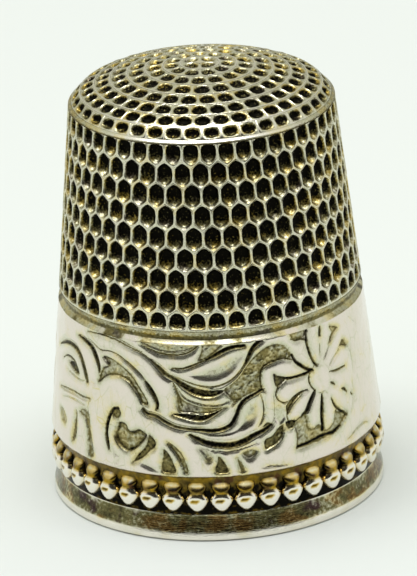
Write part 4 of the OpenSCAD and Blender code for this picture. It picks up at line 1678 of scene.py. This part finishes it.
        # The bevel is bright in lengths, with tarnish between them. Painted shade makes it darker
        # at the left and right sides.
        patch_scale = self.stipple_mm / self.bevel_patch_deg
        patches = self.stipple(np.degrees(turns) * patch_scale, np.zeros(columns))
        aside = np.clip((np.abs(np.linspace(-90, 90, columns)) - self.bevel_shade_from_deg)
                        / self.bevel_shade_over_deg, 0, 1)
        bright = slice(self.rows, self.rows + 4)
        shade[:, bright] += (np.clip(0.5 * patches + 0.06, 0, 0.45) + 0.3 * aside)[:, None]
        points = np.stack([radius * np.sin(turns)[:, None], -radius * np.cos(turns)[:, None],
                           level], axis=-1)
        count = radius.shape[1]
        faces = [(i * count + k, (i + 1) * count + k, (i + 1) * count + (k + 1) % count,
                  i * count + (k + 1) % count)
                 for i in range(columns - 1) for k in range(count)]
        faces.append(tuple(range(count)))
        faces.append(tuple((columns - 1) * count + k for k in reversed(range(count))))
        piece = Shell(points.reshape(-1, 3), faces, shade.ravel()).to_object(name, crease=70)
        piece.data.materials.append(finish)
        return piece

    def build(self, finish: Material) -> list[bpy.types.Object]:
        """Chase the face once and bend it into both halves.

        Args:
            finish: the band's material.

        Returns:
            The front and the back half, which bear the same ornament.
        """
        face = self.relief()
        return [self.half("scroll_band_front", 0.0, face, finish),
                self.half("scroll_band_back", 180.0, face, finish)]


# ---------------------------------------------------------------------------------------------
# Wires round the foot
# ---------------------------------------------------------------------------------------------

@dataclass
class BeadedWire:
    """Milled wire whose beads have been rubbed flat in front."""

    form: Form
    beads: int = 42
    first_turn: float = 0.4
    wire_r: float = 8.53
    dimple_z: float = 2.32
    dimple: float = 0.07
    waist_z: float = 2.7
    sides: int = 20

    def bead(self) -> Shell:
        """Shape one bead of two knobs, its back in the wire and its front towards -Y.

        Returns:
            The bead, at the place where the others are turned from.
        """
        # Height, half width, how far the front stands out, and tarnish. The dip in tarnish near
        # 3.1 mm paints a highlight on top of the upper knob.
        rows = ((1.66, 0.0, 0.28, 0.5), (1.71, 0.2, 0.36, 0.1), (1.82, 0.37, 0.43, 0.0),
                (1.98, 0.5, 0.47, 0.0), (2.15, 0.6, 0.49, 0.0), (2.32, 0.63, 0.5, 0.0),
                (2.46, 0.58, 0.485, 0.0), (2.58, 0.5, 0.45, 0.1), (2.67, 0.44, 0.41, 0.45),
                (2.75, 0.43, 0.4, 0.66), (2.85, 0.48, 0.385, 0.6), (2.98, 0.53, 0.33, 0.42),
                (3.1, 0.52, 0.23, 0.24), (3.22, 0.46, 0.12, 0.46), (3.34, 0.33, 0.03, 0.74),
                (3.45, 0.0, 0.0, 0.9))
        angles = np.arange(self.sides) * 2 * math.pi / self.sides
        points, tarnish = [], []
        for z, half, out, tone in rows:
            for k, a in enumerate(angles):
                across = math.copysign(abs(math.sin(a)) ** 0.85, math.sin(a)) * half
                ahead = math.copysign(abs(math.cos(a)) ** 0.7, math.cos(a)) * out
                dented = k in (0, self.sides - 1) and abs(z - self.dimple_z) < 0.03
                points.append((across, -(self.wire_r + ahead - self.dimple * dented), z))
                # The upper knob was never rubbed, so its flanks are darker.
                depth, start = (0.95, 0.06) if z > self.waist_z else (0.5, 0.25)
                aside = depth * max(0.0, 1 - math.cos(a) - start)
                tarnish.append(min(1.0, tone + aside + 0.9 * dented))
        count = self.sides
        faces = [(i * count + k, i * count + (k + 1) % count, (i + 1) * count + (k + 1) % count,
                  (i + 1) * count + k) for i in range(len(rows) - 1) for k in range(count)]
        return Shell(np.array(points), faces, np.array(tarnish))

    def build(self, finish: Material) -> bpy.types.Object:
        """Set the beads round the wire with Geometry Nodes and add the wire's back.

        Args:
            finish: the wire's material.

        Returns:
            The beaded wire.
        """
        form = self.form
        turns = np.radians(self.first_turn + np.arange(self.beads) * 360 / self.beads)
        marks = np.zeros((self.beads, 3))
        rotation = np.column_stack([np.zeros((self.beads, 2)), turns])
        bead = self.bead()
        bead.tarnish = np.clip(bead.tarnish, 0, 1)
        row = Placer(seed=3).place(bead, marks, np.ones((self.beads, 3)), rotation, 0.0, finish)
        foot, top = form.rim_top_z, form.band_foot_z
        rows = [(form.sleeve_r, foot, 0.8), (form.sleeve_r + 0.12, foot, 0.9),
                (form.sleeve_r + 0.1, foot + 0.2, 1.0), (form.sleeve_r + 0.06, foot + 0.5, 1.0),
                (form.sleeve_r + 0.05, 2.6, 0.95), (form.sleeve_r + 0.06, top - 0.5, 0.84),
                (form.sleeve_r + 0.1, top - 0.15, 0.76), (form.sleeve_r + 0.16, top, 0.84),
                (form.sleeve_r, top, 0.8)]
        profile = np.array([r[:2] for r in rows])
        back = turned(profile, np.array([r[2] for r in rows]), 168, closed=True)
        piece = Shell.joined([row, back]).to_object("beaded_wire", weld=0.001, crease=60)
        piece.data.materials.clear()
        piece.data.materials.append(finish)
        return piece


@dataclass
class RolledRim:
    """Foot of the thimble: it flares, turns under and stands on a narrow flat ring."""

    form: Form
    flat_in: float = 8.53
    flat_out: float = 8.74

    def build(self, finish: Material) -> bpy.types.Object:
        """Turn the rim's section as one closed ring.

        Args:
            finish: the rim's material.

        Returns:
            The rim.
        """
        form = self.form
        start = form.sleeve_r
        rows = [(form.cavity(form.ledge_z), form.ledge_z, 0.25),
                (form.cavity(0.12), 0.12, 0.15), (form.cavity(0.12) + 0.05, 0.04, 0.1),
                (self.flat_in, 0.0, 0.1), (self.flat_out, 0.0, 0.1)]
        rows += [(r, z, 0.0) for r, z in arc((8.79, 0.16), 0.15, -80, 0, 6)]
        rows += [(8.942, 0.28, 0.0), (8.93, 0.4, 0.02), (8.915, 0.46, 0.1), (8.89, 0.53, 0.5),
                 (8.85, 0.68, 0.64), (8.79, 0.9, 0.66), (8.735, 1.12, 0.62),
                 (8.695, 1.3, 0.6), (8.68, 1.39, 0.5), (8.67, 1.45, 0.05), (8.64, 1.49, 0.1),
                 (8.6, 1.5, 0.8), (start, 1.46, 0.9), (start, form.ledge_z, 0.5)]
        profile = np.array([row[:2] for row in rows])
        shell = turned(profile, np.array([row[2] for row in rows]), 240, closed=True)
        piece = shell.to_object("rolled_rim", weld=0.001, crease=40)
        piece.data.materials.append(finish)
        return piece


# ---------------------------------------------------------------------------------------------
# Floor, light and camera
# ---------------------------------------------------------------------------------------------

@dataclass
class Studio:
    """A white card under a large overhead softbox, with the camera's side left dark."""

    lens_mm: float = 371.9
    pitch: float = 21.42
    yaw: float = -0.02
    roll: float = -2.75
    eye_mm: tuple[float, float, float] = (0.0, -297.4, 127.6)
    card_half: float = 0.6

    def floor(self) -> bpy.types.Object:
        """Lay the card under the thimble.

        Returns:
            The floor.
        """
        half = self.card_half
        mesh = bpy.data.meshes.new("floor")
        corners = [(-half, -half, 0), (half, -half, 0), (half, half, 0), (-half, half, 0)]
        mesh.from_pydata(corners, [], [(0, 1, 2, 3)])
        mesh.materials.append(MattCard().build())
        floor = bpy.data.objects.new("floor", mesh)
        bpy.context.scene.collection.objects.link(floor)
        return floor

    def camera(self) -> bpy.types.Object:
        """Set the camera up at its place, looking down at the thimble with a slight roll.

        Returns:
            The scene's camera.
        """
        data = bpy.data.cameras.new("camera")
        data.sensor_width = 36.0
        data.sensor_fit = "AUTO"
        data.lens = self.lens_mm
        data.clip_start, data.clip_end = 0.01, 10.0
        camera = bpy.data.objects.new("camera", data)
        down, side, tilt = (math.radians(v) for v in (self.pitch, self.yaw, self.roll))
        ahead = Vector((math.sin(side) * math.cos(down), math.cos(side) * math.cos(down),
                        -math.sin(down)))
        right = ahead.cross(Vector((0, 0, 1))).normalized()
        above = right.cross(ahead).normalized()
        across = right * math.cos(tilt) + above * math.sin(tilt)
        upright = above * math.cos(tilt) - right * math.sin(tilt)
        turn = Matrix((across, upright, -ahead)).transposed()
        camera.matrix_world = Matrix.Translation(Vector(self.eye_mm) * MM) @ turn.to_4x4()
        bpy.context.scene.collection.objects.link(camera)
        bpy.context.scene.camera = camera
        return camera

    def softbox(self, name: str, place: tuple[float, float, float], size: tuple[float, float],
                watts: float) -> None:
        """Hang one rectangular softbox that faces the thimble.

        Args:
            name: the light's name.
            place: its place in metres.
            size: its two sides in metres.
            watts: its power.
        """
        data = bpy.data.lights.new(name, "AREA")
        data.shape = "RECTANGLE"
        data.size, data.size_y = size
        data.energy = watts
        lamp = bpy.data.objects.new(name, data)
        lamp.location = place
        lamp.rotation_euler = (-Vector(place)).to_track_quat("-Z", "Y").to_euler()
        bpy.context.scene.collection.objects.link(lamp)

    def surround(self) -> None:
        """Fill the room with soft light that falls off behind the camera."""
        world = bpy.data.worlds.new("studio")
        world.use_nodes = True
        tree = world.node_tree
        tree.nodes.clear()
        way = add(tree, "ShaderNodeTexCoord").outputs["Generated"]
        parts = add(tree, "ShaderNodeSeparateXYZ", None, {"Vector": way})
        # How far a direction lies in the dark area behind the camera.
        front = add(tree, "ShaderNodeMapRange", {"interpolation_type": "SMOOTHSTEP"},
                    {"Value": parts.outputs["Y"], "From Min": -0.35, "From Max": -0.7,
                     "To Min": 0.0, "To Max": 1.0})
        low = add(tree, "ShaderNodeMapRange", {"interpolation_type": "SMOOTHSTEP"},
                  {"Value": parts.outputs["Z"], "From Min": -0.02, "From Max": 0.04,
                   "To Min": 0.0, "To Max": 1.0})
        high = add(tree, "ShaderNodeMapRange", {"interpolation_type": "SMOOTHSTEP"},
                   {"Value": parts.outputs["Z"], "From Min": 0.8, "From Max": 0.6,
                    "To Min": 0.0, "To Max": 1.0})
        both = add(tree, "ShaderNodeMath", {"operation": "MULTIPLY"},
                   {0: low.outputs["Result"], 1: high.outputs["Result"]})
        dark = add(tree, "ShaderNodeMath", {"operation": "MULTIPLY"},
                   {0: front.outputs["Result"], 1: both.outputs[0]})
        # The ceiling behind the thimble is dimmer and warmer than the room in front.
        back = add(tree, "ShaderNodeMapRange", {"interpolation_type": "SMOOTHSTEP"},
                   {"Value": parts.outputs["Y"], "From Min": 0.05, "From Max": 0.55,
                    "To Min": 0.0, "To Max": 1.0})
        room = add(tree, "ShaderNodeMix", {"data_type": "RGBA"},
                   {"Factor": back.outputs["Result"], 6: linear("#F3F4F2"),
                    7: linear("#D2D3C3")})
        tone = add(tree, "ShaderNodeMix", {"data_type": "RGBA"},
                   {"Factor": dark.outputs[0], 6: room.outputs[2], 7: linear("#35332F")})
        light = add(tree, "ShaderNodeBackground", None,
                    {"Color": tone.outputs[2], "Strength": 1.0})
        add(tree, "ShaderNodeOutputWorld", None, {"Surface": light.outputs["Background"]})
        bpy.context.scene.world = world

    def build(self) -> bpy.types.Object:
        """Set up floor, light and camera.

        Returns:
            The floor.
        """
        bpy.context.scene.view_settings.view_transform = "Standard"
        floor = self.floor()
        self.camera()
        self.surround()
        self.softbox("overhead_softbox", (-0.03, -0.05, 0.5), (0.4, 0.28), 1.52)
        return floor


# ---------------------------------------------------------------------------------------------
# The whole thimble
# ---------------------------------------------------------------------------------------------

def dress(node: str, finish: Material) -> None:
    """Give a CAD node that stays in view its finish.

    Args:
        node: the node's name.
        finish: its material.
    """
    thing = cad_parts[node]
    thing.data.materials.clear()
    thing.data.materials.append(finish)


def main() -> None:
    """Build the thimble piece by piece and report each."""
    logging.basicConfig(level=logging.INFO, format="%(name)s: %(message)s")
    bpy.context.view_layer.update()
    form = Form()
    studio = Studio()
    studio.build()
    finishes = Finishes()
    made: list[tuple[bpy.types.Object, str, str]] = [
        (KnurledWall(form).build(finishes.knurled), "side_wall", "knurled_silver"),
        (PittedCap(form).build(finishes.knurled), "cap", "knurled_silver"),
        (BeadedWire(form).build(finishes.beaded), "bead_wire", "beaded_silver"),
        (RolledRim(form).build(finishes.rim), "rim_wire", "worn_silver"),
    ]
    made += [(half, "scroll_band", "worn_silver")
             for half in ChasedBand(form).build(finishes.worn)]
    for piece, node, slot in made:
        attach(piece, "root")
        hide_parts(node)
        LOG.info("%s: %d faces", piece.name, len(piece.data.polygons))
    for node in ("cap_solder", "band_solder", "rim_solder"):
        dress(node, finishes.solder)


if __name__ == "__main__":
    main()
